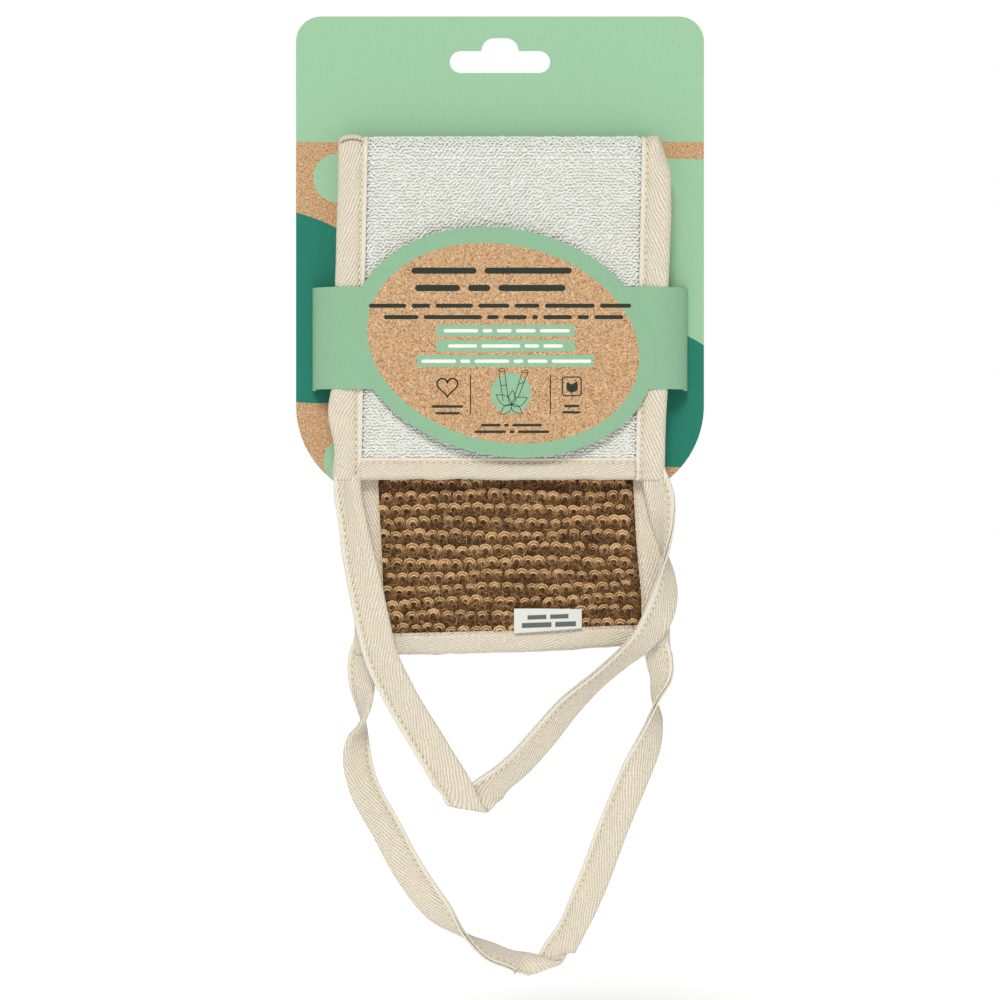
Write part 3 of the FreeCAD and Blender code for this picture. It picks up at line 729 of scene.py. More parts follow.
def side_binding(name, side):
    runs = np.concatenate([np.arange(-0.2 * MM, front_run - 1 * MM, 0.8 * MM),
                           np.arange(front_run - 1 * MM, front_run + 6 * MM, 0.14 * MM),
                           np.arange(front_run + 6 * MM, whole_run + 0.3 * MM, 0.8 * MM)])
    chance = np.random.default_rng(21 + side)
    drift = np.interp(runs, np.linspace(0, whole_run, 40), chance.normal(0, 0.16 * MM, 40))
    bulge = np.zeros(len(runs))
    if side < 0:
        bulge = 1.5 * MM * np.exp(-((runs - 22 * MM) / (7 * MM)) ** 2) - 0.9 * MM * np.exp(
            -((runs - 9 * MM) / (6 * MM)) ** 2)
    rings, shade = [], []
    for run, wander, out in zip(runs, drift, bulge):
        ends = min(float(smooth(run, -1 * MM, 7 * MM)), float(smooth(whole_run - run, -1 * MM, 7 * MM)))
        thick = (half_thick - 0.35 * MM) * (0.42 + 0.58 * ends)
        section = hook_section(tape_wide + wander + out, thick)
        push, dark = pucker(run, section[:, 0])
        outer_face = (section[:, 1] > 0) * (side < 0)
        section[:, 1] += push * outer_face
        # The crease on the outer face is kept as the tape's tone, and the tape's finish paints it dark as
        # painted shade.
        shade.append(dark * outer_face)
        across = side * (half_face - 0.25 * MM + section[:, 0])
        shoulder = 3.2 * MM * math.exp(-((run - front_run - fold_run / 2) / (8 * MM)) ** 2) if side > 0 else 0
        across = across - side * shoulder * smooth(section[:, 0], 3 * MM, tape_wide) ** 2
        rings.append(on_strap(np.full(len(section), run), section[:, 1], across))
    return turn_out(sweep(name, rings, len(CROWN), tone=np.concatenate(shade)))


def end_binding(name, run_end, inward):
    acrosses = np.arange(-half_face - 0.4 * MM, half_face + 0.5 * MM, 0.8 * MM)
    chance = np.random.default_rng(31 + int(inward))
    drift = np.interp(acrosses, np.linspace(-half_face, half_face, 24), chance.normal(0, 0.14 * MM, 24))
    rings = []
    for across, wander in zip(acrosses, drift):
        section = hook_section(END_TAPE + wander, half_thick - 0.45 * MM)
        run = run_end + inward * (END_TAPE - section[:, 0])
        rings.append(on_strap(run, section[:, 1], np.full(len(section), across)))
    return turn_out(sweep(name, rings, len(CROWN)))


def make_cotton_tape():
    finish = Finish("cotton_tape", Roughness=0.9, Specular_IOR_Level=0.2, Sheen_Weight=0.15)
    u, v, _ = finish.split(finish.uv())
    place = finish.place()
    from_fold = abs(u)
    wobble = finish.noise(place, 160, 1.0) * (1.6 * MM)
    ribs = finish.wave((from_fold * 0.92 - v * 0.39 + wobble) * (2 * math.pi / (0.90 * MM)))
    beads = finish.wave((from_fold * 0.39 + v * 0.92) * (2 * math.pi / (0.86 * MM)))
    yarn = finish.noise(place, 1900, 3.0, 0.65)
    patch = finish.noise(place, 130, 2.0)
    weave = ribs * 0.35 + ribs * beads * 0.65
    edge = finish.fade(from_fold, TAPE_HALF - 1.55 * MM, TAPE_HALF - 1.05 * MM)
    seam_off = abs(from_fold - (TAPE_HALF - SEAM_IN))
    # The stitched column is tan: partly the tape's own colour, partly painted shade in the dip where the
    # stitches pull it down.
    seam_tan_and_shade = 1 - finish.fade(seam_off, 0.3 * MM, 1.5 * MM)
    hole_off = finish.node("ShaderNodeMath", {"operation": "PINGPONG"},
                           {0: v - 0.35 * MM, 1: STITCH_PITCH / 2})
    holes = 1 - finish.fade((seam_off * seam_off + hole_off * hole_off) ** 0.5, 0.16 * MM, 0.40 * MM)
    # Darker in the weave's dips: painted shade between the ribs, together with the yarn's own mottle.
    weave_shade_and_yarn = finish.fade(weave + yarn * 0.9, 0.35, 0.95)
    base = finish.mix(colour(195, 180, 150), colour(237, 230, 216), weave_shade_and_yarn)
    base = finish.mix(base, finish.mix(colour(186, 164, 124), colour(232, 219, 196), weave_shade_and_yarn), seam_tan_and_shade * 0.6)
    base = finish.mix(base, colour(226, 214, 188), finish.fade(patch, 0.45, 0.75) * 0.45)
    base = finish.mix(base, colour(237, 234, 224), edge * 0.5)
    base = finish.mix(base, colour(150, 124, 88), holes * finish.fade(patch, 0.35, 0.6) * 0.5)
    # Tone darkens the crease at the left tape's fold: painted shade.
    base = finish.mix(base, colour(88, 62, 40), finish.tone() * 0.9)
    relief = weave * (1 - edge * 0.4) + yarn * 0.5 - holes * 0.6
    return finish.feed(base, relief=relief, strength=0.8, depth=0.00034)


cotton_tape = make_cotton_tape()
left_binding = side_binding("left_binding_tape", -1)
right_binding = side_binding("right_binding_tape", 1)
front_edge = end_binding("front_end_tape", 0.0, 1)
rear_edge = end_binding("rear_end_tape", whole_run, -1)
for piece, node in ((left_binding, "left_side_binding"), (right_binding, "right_side_binding"),
                    (front_edge, "front_end_binding"), (rear_edge, "rear_end_binding")):
    paint(piece, cotton_tape)
    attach(piece, "strap")
    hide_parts(node)


# %% [markdown]
# Every seam is a row of lock stitches: short rounded beads of thread on both faces, sunk into the tape.
# One stitch is a small sphere drawn out long, and the rest are its copies along each seam.

# %% One stitch and its copies
deselect_all()
bpy.ops.mesh.primitive_uv_sphere_add(segments=6, ring_count=4, radius=0.5)
pattern = bpy.context.active_object
bpy.ops.object.mode_set(mode="EDIT")
bpy.ops.mesh.select_all(action="SELECT")
bpy.ops.transform.resize(value=(0.34 * MM, 0.36 * MM, 1.5 * MM))
bpy.ops.object.mode_set(mode="OBJECT")
stitch_points = np.array([v.co[:] for v in pattern.data.vertices])
stitch_faces = [tuple(f.vertices) for f in pattern.data.polygons]
bpy.data.objects.remove(pattern)


def strap_seam(name, run, rise, across, lengthwise):
    """Stitches at these places on the pad; lengthwise seams run along it, the others across."""
    shape = stitch_points[:, [2, 0, 1]] if lengthwise else stitch_points[:, [1, 0, 2]]
    turn = np.random.default_rng(41).normal(0, 0.10, len(run))
    (r, h, a), joined = copies(shape, stitch_faces, run, rise, across, turn, np.ones(len(run)))
    return make_piece(name, on_strap(r, h, a), joined)


def make_cotton_thread():
    finish = Finish("cotton_thread", Roughness=0.8, Specular_IOR_Level=0.25)
    place = finish.place()
    fluff = finish.noise(place, 2500, 2.0)
    base = finish.mix(colour(238, 232, 218), colour(214, 202, 178), finish.fade(fluff, 0.4, 0.75))
    return finish.feed(base, relief=fluff, strength=0.4, depth=0.0001)


cotton_thread = make_cotton_thread()
seam_height = half_thick - 0.24 * MM
side_runs = np.arange(1.2 * MM, whole_run - 1 * MM, STITCH_PITCH)
end_acrosses = np.arange(-half_face + 1.0 * MM, half_face - 0.4 * MM, STITCH_PITCH)
seams = []
for side, word in ((-1, "left"), (1, "right")):
    place_across = np.full(len(side_runs), side * (half_face - 0.25 * MM + SEAM_IN * 0.9))
    for face, way in (("needle", 1), ("bobbin", -1)):
        place_rise = np.full(len(side_runs), way * seam_height)
        seams.append((strap_seam(f"{word}_{face}_stitches", side_runs, place_rise, place_across, True),
                      f"{word}_{face}_thread"))
for word, run_end, inward in (("front", 0.0, 1), ("rear", whole_run, -1)):
    place_run = np.full(len(end_acrosses), run_end + inward * (END_TAPE - SEAM_IN * 0.8))
    for face, way in (("needle", 1), ("bobbin", -1)):
        place_rise = np.full(len(end_acrosses), way * (seam_height - 0.1 * MM))
        seams.append((strap_seam(f"{word}_end_{face}_stitches", place_run, place_rise, end_acrosses, False),
                      f"{word}_end_{face}_thread"))
for piece, node in seams:
    turn_out(piece)
    paint(piece, cotton_thread)
    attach(piece, "strap")
    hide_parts(node)
print("seams", len(seams), "with", sum(len(p.data.polygons) for p, _ in seams), "faces")


# %% [markdown]
# The carrying loops are the same tape, running on past each end. Out there it is folded in two along its
# length and sewn shut, so it is a flat double strip with one rounded edge and one open edge. A hanging tape
# turns and folds as it likes, so each station says where its middle is, how far it has rolled about its
# own line, how wide it is, and at a sharp fold which way the crease runs.

# %% A folded tape through its stations
def folded_section(wide, thick):
    """The strip's outline: width from the open edge (-) to the rounded edge (+), height from its middle."""
    h, t = wide / 2, thick / 2
    top = [(-h + 0.05 * MM, t * 0.62), (-h + 0.45 * MM, t * 0.92), (-h + 1.1 * MM, t * 0.72),
           (-h + 1.5 * MM, t * 0.62), (-h + 2.0 * MM, t * 0.85), (-h + 3.2 * MM, t * 1.02), (-h * 0.1, t),
           (h - 3.0 * MM, t * 1.02),
           (h - 1.5 * MM, t * 1.05), (h - 0.6 * MM, t * 0.86), (h - 0.15 * MM, t * 0.5)]
    tip = [(h, 0.0)]
    back = [(a, -b) for a, b in reversed(top)]
    lips = [(-h, -t * 0.38), (-h + 0.3 * MM, -t * 0.16)]
    slit = [(0.0, -0.04 * MM), (h - 1.2 * MM, -0.04 * MM), (h - 1.0 * MM, 0.0), (h - 1.2 * MM, 0.04 * MM),
            (0.0, 0.04 * MM)]
    return np.array(top + tip + back + lips + slit + [(a, -b) for a, b in reversed(lips)])


def loop_line(stations, step=0.9 * MM):
    """Places, width directions and faces' normals every step along a loop."""
    centres = np.array([(s[0], s[2], s[1]) for s in stations]) * MM
    ahead = unit(np.gradient(centres, axis=0))
    widths = []
    for station, way in zip(stations, ahead):
        roll = math.radians(station[3])
        if len(station) > 5:
            crease = math.radians(station[5])
            flat, roll = np.array([math.cos(crease), 0, math.sin(crease)]), 0.0
        else:
            flat = unit(np.array([-way[2], 0, way[0]]))
        widths.append(math.cos(roll) * flat + math.sin(roll) * np.array([0, -1.0, 0]))
    table = np.hstack([centres, np.array(widths), np.array([[s[4] * MM] for s in stations])])
    fine = curve_through(table, step)
    centre, width, wide = fine[:, :3], fine[:, 3:6], fine[:, 6]
    along = unit(np.gradient(centre, axis=0))
    width = unit(width)
    normal = np.cross(along, width)
    weak = np.linalg.norm(normal, axis=1) < 0.35
    for i in np.nonzero(weak)[0]:
        normal[i] = normal[i - 1]
    normal = unit(normal)
    return centre, width, normal, wide


def loop_tape(name, line, thick=1.9 * MM, fold_at=11):
    centre, width, normal, wide = line
    rings = []
    for c, w, n, size in zip(centre, width, normal, wide):
        section = folded_section(size, thick)
        rings.append(c + section[:, :1] * w + section[:, 1:] * n)
    return turn_out(sweep(name, rings, fold_at))


def loop_seam(name, line, inset=SEAM_IN * 0.9, height=0.70 * MM):
    """Stitches on both faces of a loop, along its open edge."""
    centre, width, normal, wide = line
    reach = np.concatenate([[0], np.cumsum(np.linalg.norm(np.diff(centre, axis=0), axis=1))])
    points, faces = [], []
    for place in np.arange(1.4 * MM, reach[-1] - 1 * MM, STITCH_PITCH):
        at = [np.array([np.interp(place, reach, column) for column in part.T])
              for part in (centre, width, normal)]
        size = float(np.interp(place, reach, wide))
        ahead = unit(np.array([np.interp(place + MM, reach, column) for column in centre.T])
                     - np.array([np.interp(place - MM, reach, column) for column in centre.T]))
        w, n = unit(at[1]), unit(at[2])
        for face in (-1, 1):
            spot = at[0] - w * (size / 2 - inset) + n * face * height
            faces += [tuple(i + len(points) for i in f) for f in stitch_faces]
            points += (spot + stitch_points[:, :1] * w + stitch_points[:, 1:2] * n
                       + stitch_points[:, 2:] * ahead).tolist()
    return turn_out(make_piece(name, points, faces))


# (x, z, y, roll, width[, crease heading]) in mm and degrees, from the left end to the right end
FRONT_LOOP = [
    (-48.2, -129.6, -8.6, 0, 8.2), (-48.2, -136.5, -9.2, 0, 8.8), (-46.6, -146.5, -9.8, 8, 9.2),
    (-45.0, -155.7, -9.9, 0, 10.2), (-43.0, -165.0, -9.9, -4, 10.8), (-40.6, -176.9, -9.9, 0, 11.0),
    (-37.4, -189.5, -10.0, 2, 10.8), (-31.4, -202.0, -10.2, 6, 10.8), (-23.0, -216.0, -10.4, 4, 11.0),
    (-17.2, -225.6, -10.8, 0, 11.2), (-12.6, -233.2, -11.4, 0, 12.6, -9), (-10.1, -236.9, -10.2, 0, 13.2, -9),
    (-7.4, -234.6, -9.0, 0, 12.8, -9), (-0.5, -228.6, -9.0, 214, 10.6), (5.6, -223.4, -9.4, 217, 10.6),
    (13.7, -214.5, -9.8, 218, 10.6), (21.7, -205.0, -10.0, 226, 10.6), (31.9, -195.6, -10.0, 240, 10.4),
    (38.5, -190.0, -9.6, 236, 10.2), (45.2, -184.0, -9.2, 222, 10.4), (50.3, -176.0, -8.6, 206, 10.4),
    (52.4, -168.0, -8.4, 222, 10.2), (52.6, -161.5, -8.4, 246, 9.6), (52.2, -155.9, -8.6, 276, 9.4),
    (51.5, -147.5, -8.8, 316, 9.2), (50.4, -137.5, -8.8, 352, 9.2), (48.0, -129.6, -8.6, 360, 7.8)]
REAR_LOOP = [
    (-42.4, -184.0, -3.0, 6, 8.0), (-44.0, -190.6, -2.8, 20, 9.0), (-43.8, -198.8, -2.0, 34, 9.6),
    (-43.4, -205.0, -1.4, 62, 9.8), (-43.8, -210.7, -1.2, 94, 9.8), (-45.2, -215.4, -1.2, 128, 9.8),
    (-45.6, -221.0, -1.2, 152, 9.8), (-43.8, -229.5, -1.2, 166, 9.9), (-36.3, -244.1, -1.0, 176, 9.9),
    (-28.0, -259.2, -0.8, 186, 9.9), (-20.0, -270.0, -0.8, 208, 9.9), (-11.6, -278.0, -0.8, 262, 9.6),
    (-3.0, -283.4, -0.8, 298, 9.6), (5.0, -286.4, -1.2, 302, 9.8), (11.2, -288.0, -1.8, 0, 11.4, 20),
    (14.4, -288.4, -0.8, 0, 12.0, 20), (15.8, -286.6, 0.2, 0, 11.6, 20), (20.0, -281.0, 0.2, 530, 9.9),
    (28.0, -265.0, 0.0, 540, 9.9), (36.2, -243.5, -0.4, 540, 9.9), (43.4, -226.0, -0.8, 546, 9.9),
    (47.6, -216.4, -1.0, 576, 9.8), (49.4, -209.0, -1.2, 604, 9.8), (49.6, -202.8, -1.4, 638, 9.8),
    (51.2, -196.0, -2.0, 672, 9.6), (50.6, -190.0, -2.8, 700, 9.0), (49.2, -184.0, -3.0, 716, 8.0)]

loops = []
for word, stations in (("front", FRONT_LOOP), ("rear", REAR_LOOP)):
    line = loop_line(stations)
    length = float(np.linalg.norm(np.diff(line[0], axis=0), axis=1).sum())
    tape = loop_tape(f"{word}_loop_tape", line)
    thread = loop_seam(f"{word}_loop_stitches", line)
    paint(tape, cotton_tape)
    paint(thread, cotton_thread)
    hinge = next(j for j in frame["joints"] if j["name"] == f"{word}_loop_swing")["pos_m"]
    for piece in (tape, thread):
        hinge[2] + 3 * MM
        hinge[2] - 5 * MM
        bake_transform(piece)
    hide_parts(f"{word}_carrying_loop")
    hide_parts(f"{word}_loop_thread")
    loops.append((word, round(length / MM, 1)))
print("loop lengths", loops)


# %% [markdown]
# The belly band is thin board, die cut as an oval with two tabs. The tabs wrap the strap, pass through the
# card's slits and meet behind it. The strip is made by drawing one edge along its route, extrude by
# extrude, then giving it thickness; the oval is a thin slanting disc joined on, whose free top and foot curl
# away from the pad; and the sharp cut edges get a slight bevel.

# %% The belly band
band_low, band_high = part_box("belly_band")
card_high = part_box("hang_card")[1]
glue_low, glue_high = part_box("band_glue_dot")
band_thick = glue_low.y - (card_high.y + 0.4 * MM)
slit = band_high.x - band_thick / 2
tab_top, tab_foot = -72.25 * MM, -104.55 * MM
tab_middle = (tab_top + tab_foot) / 2
FLAT_HALF = 46.5 * MM
front_y = band_low.y + band_thick / 2
OVAL_X, OVAL_Z = 1.0 * MM, (band_high.z + band_low.z) / 2 - 0.3 * MM
OVAL_TURN = math.radians(12)
HALF_LONG = 48.4 * MM
half_rise = (band_high.z - band_low.z) / 2 - 0.4 * MM
HALF_SHORT = math.sqrt(half_rise ** 2 - (HALF_LONG * math.sin(OVAL_TURN)) ** 2) / math.cos(OVAL_TURN)


def bow_out(piece):
    """The oval's free top and foot curl away from the pad: rows are cut in first, then moved out."""
    mesh = bmesh.new()
    mesh.from_mesh(piece.data)
    for level in np.arange(-24, 25) * 1.6 * MM + tab_middle:
        mesh_all = mesh.verts[:] + mesh.edges[:] + mesh.faces[:]
        bmesh.ops.bisect_plane(mesh, geom=mesh_all, plane_co=(0, 0, level), plane_no=(0, 0, 1), dist=1e-7)
    for vertex in mesh.verts:
        if vertex.co.y < front_y + MM:
            off = abs(vertex.co.z - tab_middle)
            vertex.co.y -= float(2.1 * MM * smooth(off, 15.5 * MM, 40 * MM))
    mesh.to_mesh(piece.data)
    mesh.free()


def tab_route(side):
    """From the flat front round the strap's edge, through the slit and in behind the card."""
    start, bulge = FLAT_HALF, 0.42 * MM
    turn = [(start + (slit + bulge - start) * math.sin(a), -0.6 * MM + (front_y + 0.6 * MM) * math.cos(a))
            for a in np.linspace(0, math.pi / 2, 12)]
    turn.append((slit + bulge * 0.8, -0.25 * MM))
    behind = glue_high.y + band_thick / 2 if side < 0 else glue_low.y - band_thick / 2
    back = [(slit, card_high.y + 0.1 * MM), (slit - 0.35 * MM, behind - 0.1 * MM), (slit - 1.0 * MM, behind),
            (20 * MM, behind), (-8 * MM, behind)]
    return [(side * x, y) for x, y in turn + back]


deselect_all()
bpy.ops.mesh.primitive_plane_add(size=1, location=(0, front_y, tab_middle), rotation=(math.radians(90), 0, 0))
band = bpy.context.active_object
band.name = "band_wrap"
band.scale = (2 * FLAT_HALF, tab_top - tab_foot, 1)
apply_all(band)
for side in (-1, 1):
    here = (side * FLAT_HALF, front_y)
    only(band)
    for edge in band.data.edges:
        edge.select = all(abs(band.data.vertices[i].co.x - here[0]) < 1e-5 for i in edge.vertices)
    bpy.context.tool_settings.mesh_select_mode = (False, True, False)
    for vertex in band.data.vertices:
        vertex.select = abs(vertex.co.x - here[0]) < 1e-5
    for face in band.data.polygons:
        face.select = False
    bpy.ops.object.mode_set(mode="EDIT")
    for there in tab_route(side)[1:]:
        move = (there[0] - here[0], there[1] - here[1], 0)
        bpy.ops.mesh.extrude_region_move(TRANSFORM_OT_translate={"value": move})
        here = there
    bpy.ops.object.mode_set(mode="OBJECT")
modify(band, "board", "SOLIDIFY", thickness=band_thick, offset=0)
apply_all(band)
turn_out(band)
deselect_all()
bpy.ops.mesh.primitive_cylinder_add(vertices=160, radius=1, depth=band_thick,
                                    location=(0, 0, 0), rotation=(math.radians(90), 0, 0))
oval = bpy.context.active_object
oval.scale = (HALF_LONG, HALF_SHORT, 1)
apply_all(oval)
oval.rotation_euler.y = OVAL_TURN
oval.location = (OVAL_X, front_y, OVAL_Z)
apply_all(oval)
modify(band, "oval", "BOOLEAN", operation="UNION", solver="EXACT", object=oval)
apply_all(band)
bpy.data.objects.remove(oval)
bow_out(band)
modify(band, "cut_edge", "BEVEL", width=0.06 * MM, segments=2, angle_limit=math.radians(50),
       limit_method="ANGLE")
apply_all(band)
only(band)
bpy.ops.object.shade_smooth_by_angle(angle=math.radians(30))
print("band", len(band.data.polygons), "faces")


def make_band_board():
    finish = Finish("band_board", Roughness=0.68, Specular_IOR_Level=0.25)
    place = finish.place()
    x, y, z = finish.split(place)
    kraft, fibres = kraft_speckle(finish, place)
    mint = inked(finish, place, colour(140, 182, 148), colour(133, 175, 141))
    across, rise = x - OVAL_X, z - (OVAL_Z - 0.3 * MM)
    off = (across * math.cos(OVAL_TURN) - rise * math.sin(OVAL_TURN)) * (31.0 / 43.4)
    up = across * math.sin(OVAL_TURN) + rise * math.cos(OVAL_TURN)
    window = 1 - finish.fade((off * off + up * up) ** 0.5, 30.9 * MM, 31.05 * MM)
    front = 1 - finish.fade(y, front_y - 0.1 * MM, front_y)
    return finish.feed(finish.mix(mint, kraft, window * front), relief=fibres, strength=0.2, depth=0.00005)


band_board = make_band_board()
paint(band, band_board)
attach(band, "pack")
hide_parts("belly_band")


# %% [markdown]
# The glue dot that joins the band's tails is a small smear of hot melt, and its measured disc is right.

# %% Hot melt
def make_hot_melt():
    finish = Finish("hot_melt", Roughness=0.35, Coat_Weight=0.3)
    cloud = finish.noise(finish.place(), 500, 3.0)
    base = finish.mix(colour(226, 214, 178), colour(240, 232, 205), cloud)
    return finish.feed(base, relief=cloud, strength=0.5, depth=0.0001)


paint(frame["nodes"]["band_glue_dot"], make_hot_melt())


# %% [markdown]
# The band carries print, with no words: rows of plain bars stand where lines of text would be, with a
# heart, a plant in a disc and a leaf in a square. Ink has no thickness worth the name, so each mark is
# a flat sliver of mesh that lies just proud of the board.

# %% Ink marks
INK_Y = band_low.y - 0.02 * MM


def flat_marks(name, outlines):
    """Flat filled shapes on the band's face; each outline is a list of (x, z) in mm."""
    points, faces = [], []
    for outline in outlines:
        faces.append(tuple(range(len(points), len(points) + len(outline))))
        points += [(x * MM, INK_Y, z * MM) for x, z in outline]
    piece = make_piece(name, points, faces)
    piece.data.polygons.foreach_set("use_smooth", [False] * len(piece.data.polygons))
    return piece


def bar(x_from, x_to, z_from, z_to, corner=0.25):
    corner = min(corner, abs(x_to - x_from) / 2.01, abs(z_to - z_from) / 2.01)
    outline = []
    for cx, cz, start in ((x_to - corner, z_to - corner, 0), (x_from + corner, z_to - corner, 90),
                          (x_from + corner, z_from + corner, 180), (x_to - corner, z_from + corner, 270)):
        outline += [(cx + corner * math.cos(a), cz + corner * math.sin(a))
                    for a in (math.radians(start + turn) for turn in (0, 30, 60, 90))]
    return outline


def word_row(x_from, x_to, z_from, z_to, words):
    """Slim bars for words of the given lengths, spread over a row as tall as its letters would be."""
    gap = 0.75 * (z_to - z_from)
    scale = (x_to - x_from - gap * (len(words) - 1)) / sum(words)
    middle, half = (z_from + z_to) / 2, 0.29 * (z_to - z_from)
    out, at = [], x_from
    for word in words:
        out.append(bar(at, at + word * scale, middle - half, middle + half, half))
        at += word * scale + gap
    return out


def pen(points, wide, closed=False):
    """A drawn line of even width, as a row of four-cornered pieces."""
    points = [np.array(p, float) for p in points]
    if closed:
        points.append(points[0])
    out = []
    for a, b in zip(points[:-1], points[1:]):
        way = (b - a) / np.linalg.norm(b - a)
        side = np.array([-way[1], way[0]]) * wide / 2
        a2, b2 = a - way * wide * 0.2, b + way * wide * 0.2
        out.append([tuple(a2 - side), tuple(b2 - side), tuple(b2 + side), tuple(a2 + side)])
    return out


def round_line(centre, radius, start, stop, count=24, squash=1.0):
    turns = [math.radians(turn) for turn in np.linspace(start, stop, count)]
    return [(centre[0] + radius * math.cos(a), centre[1] + radius * squash * math.sin(a)) for a in turns]


def leaf(base, tip, fat):
    """A leaf outline between two points."""
    base, tip = np.array(base, float), np.array(tip, float)
    way = tip - base
    side = np.array([-way[1], way[0]]) * fat
    up = [tuple(base + way * t + side * math.sin(math.pi * t ** 0.8)) for t in np.linspace(0, 1, 9)]
    down = [tuple(base + way * t - side * math.sin(math.pi * t ** 0.8)) for t in np.linspace(1, 0, 9)[1:-1]]
    return up + down


heart = [(-16.6 + 0.205 * 16 * math.sin(t) ** 3, -103.7 + 0.205 * (13 * math.cos(t) - 5 * math.cos(2 * t)
          - 2 * math.cos(3 * t) - math.cos(4 * t))) for t in np.linspace(0, 2 * math.pi, 40)[:-1]]
dark = (word_row(-28.0, 22.6, -68.9, -65.6, [6, 8]) + word_row(-26.8, 20.7, -74.4, -71.0, [4, 2, 6])
        + word_row(-41.4, 41.4, -79.4, -77.2, [6, 3, 6, 5, 4, 8, 5])
        + word_row(-36.7, 38.9, -83.0, -80.8, [6, 10, 2, 4, 1, 5, 2, 5])
        + pen(heart, 0.5, closed=True) + pen([(-9.3, -100.1), (-9.3, -112.5)], 0.35)
        + pen([(15.9, -100.1), (15.9, -112.5)], 0.35)
        + word_row(-21.6, -11.6, -110.8, -109.4, [6]) + word_row(-20.3, -12.6, -112.9, -111.6, [5])
        + word_row(20.2, 25.1, -110.6, -109.3, [3]) + word_row(19.6, 25.4, -112.6, -111.3, [4])
        + word_row(-6.0, 13.2, -116.7, -115.3, [4, 1, 6]) + word_row(-8.0, 15.6, -118.8, -117.4, [6, 1, 6])
        + pen(bar(19.7, 25.6, -106.7, -100.8, 0.9), 0.4, closed=True)
        + [leaf((22.7, -105.6), (21.2, -102.4), 0.32), leaf((22.7, -105.6), (24.3, -102.2), 0.32)]
        + pen([(22.7, -106.0), (22.7, -104.6)], 0.3))
stalks = (pen([(1.0, -108.4), (-0.4, -98.8)], 0.22) + pen([(2.6, -108.0), (1.4, -98.4)], 0.22)
          + pen([(4.4, -107.4), (7.2, -98.8)], 0.22) + pen([(5.8, -107.0), (8.8, -99.4)], 0.22)
          + pen(round_line((0.5, -98.6), 0.95, 0, 330, 12, 0.5), 0.2)
          + pen(round_line((8.0, -99.0), 0.9, 0, 330, 12, 0.5), 0.2)
          + pen([(0.3, -103.6), (2.1, -103.3)], 0.22) + pen([(5.6, -103.2), (7.5, -102.5)], 0.22))
for tip in ((-1.2, -106.4), (4.0, -105.0), (8.6, -107.4), (0.2, -112.6), (7.0, -112.4)):
    stalks += pen(leaf((3.6, -109.6), tip, 0.26), 0.22, closed=True)
mint_marks = [bar(-20.1, 23.6, -88.0, -84.3, 0.1), bar(-20.1, 23.6, -92.8, -89.1, 0.1),
              bar(-26.2, 29.6, -97.6, -93.9, 0.1), round_line((3.5, -106.0), 6.4, 0, 352, 45)]
white_marks = (word_row(-17.8, 22.0, -87.1, -85.3, [7, 2, 3, 4, 6])
               + word_row(-16.4, 19.8, -91.9, -90.1, [6, 8, 3, 4])
               + word_row(-24.8, 28.8, -96.7, -94.9, [7, 2, 7, 2, 4, 8]))
INKS = (("mint_ink", mint_marks, colour(143, 186, 151), 0.0),
        ("dark_ink", dark + stalks, colour(38, 46, 36), 0.012),
        ("white_ink", white_marks, colour(240, 243, 236), 0.012))
for name, outlines, shade, proud in INKS:
    marks = flat_marks(f"{name}_marks", outlines)
    bow_out(marks)
    marks.data.transform(Matrix.Translation((0, -proud * MM, 0)))
    finish = Finish(name, Roughness=0.6, Specular_IOR_Level=0.3)
    mottle = finish.noise(finish.place(), 1200, 2.0)
    finish.feed(finish.mix(shade, tuple(c * 0.9 for c in shade[:3]) + (1,), finish.fade(mottle, 0.4, 0.8)))
    paint(marks, finish.material)
    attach(marks, "pack")
print("ink marks", len(dark) + len(stalks) + len(mint_marks) + len(white_marks))


# %% [markdown]
# A small woven label is caught in the rear seam. It is a folded strip of satin, so it is two thin layers
# with a rounded top fold, a little bowed. Plain bars are woven into it where words would be.

# %% The woven label
label_low, label_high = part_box("woven_label")
label_middle = (label_low.x + label_high.x) / 2


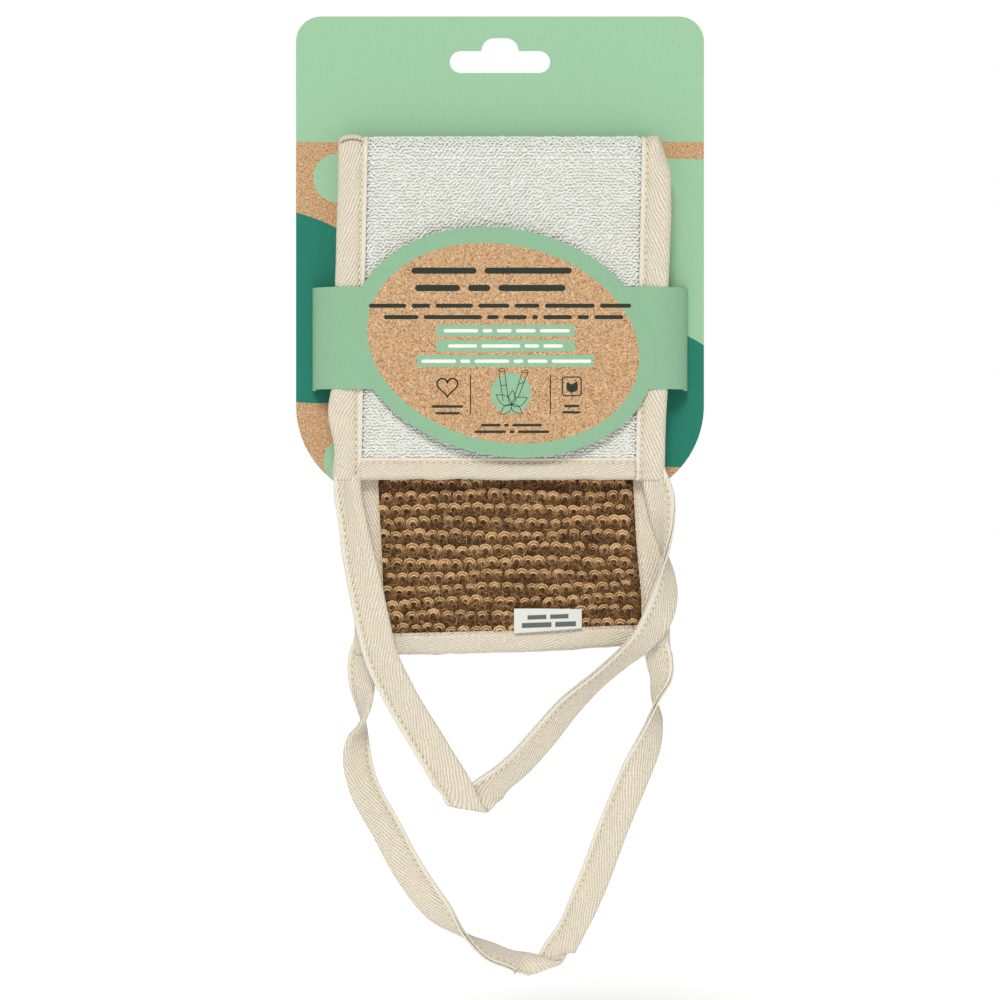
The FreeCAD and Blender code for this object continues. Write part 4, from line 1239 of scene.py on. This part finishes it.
def label_tag():
    rows, columns = 14, 24
    points = []
    for i in range(rows):
        rise = i / (rows - 1)
        for j in range(columns):
            side = (j / (columns - 1) - 0.5)
            x = label_middle + side * (label_high.x - label_low.x)
            top = label_high.z + (0.9 - 0.2 * side) * MM - 0.5 * MM * abs(side) ** 2
            foot = label_low.z + (1.0 + 1.6 * side) * MM
            z = foot + (top - foot) * rise
            bow = 0.35 * MM * math.cos(side * 2.6) + 0.55 * MM * rise ** 1.5
            points.append((x, label_high.y - 0.25 * MM - bow, z))
    return make_piece("label_tag", points, grid_faces(rows, columns))


label = label_tag()
modify(label, "two_layers", "SOLIDIFY", thickness=0.5 * MM, offset=0)
modify(label, "soft_edge", "BEVEL", width=0.16 * MM, segments=2, limit_method="ANGLE")
apply_all(label)
turn_out(label)
front_side = label.data.attributes.new("tone", "FLOAT", "POINT")
for vertex in label.data.vertices:
    front_side.data[vertex.index].value = float(vertex.normal.y < -0.3)


def woven_bar(finish, along, up, start, stop, level, tall):
    """1 inside a bar woven into the label, from start to stop at this level, in mm from its middle."""
    begun, ended = (finish.fade(along, place * MM, (place + 0.2) * MM) for place in (start, stop))
    inside_x = begun * (1 - ended)
    off = abs(up - level * MM)
    return inside_x * (1 - finish.fade(off, (tall / 2 - 0.1) * MM, (tall / 2 + 0.1) * MM))


def make_label_satin():
    finish = Finish("label_satin", Roughness=0.45, Specular_IOR_Level=0.4, Sheen_Weight=0.2)
    place = finish.place()
    x, _, z = finish.split(place)
    weft = finish.wave(z * (2 * math.pi / (0.28 * MM)))
    warp = finish.wave(x * (2 * math.pi / (0.35 * MM)))
    base = finish.mix(colour(205, 209, 199), colour(228, 231, 223), weft * 0.6 + warp * 0.4)
    along = x - label_middle
    up = z - (label_low.z + label_high.z) / 2 - along * 0.035
    bars = [woven_bar(finish, along, up, *spread) for spread in
            ((-6.6, -0.6, 1.9, 1.4), (0.6, 6.4, 1.9, 1.4), (-8.4, 1.0, -0.6, 1.6), (2.2, 8.8, -0.6, 1.6))]
    marks = bars[0] + bars[1] + bars[2] + bars[3]
    base = finish.mix(base, colour(44, 47, 44), marks * finish.tone() * (0.75 + weft * 0.25))
    return finish.feed(base, relief=weft * 0.6 + warp * 0.4, strength=0.35, depth=0.00006)


paint(label, make_label_satin())
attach(label, "label")
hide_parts("woven_label")
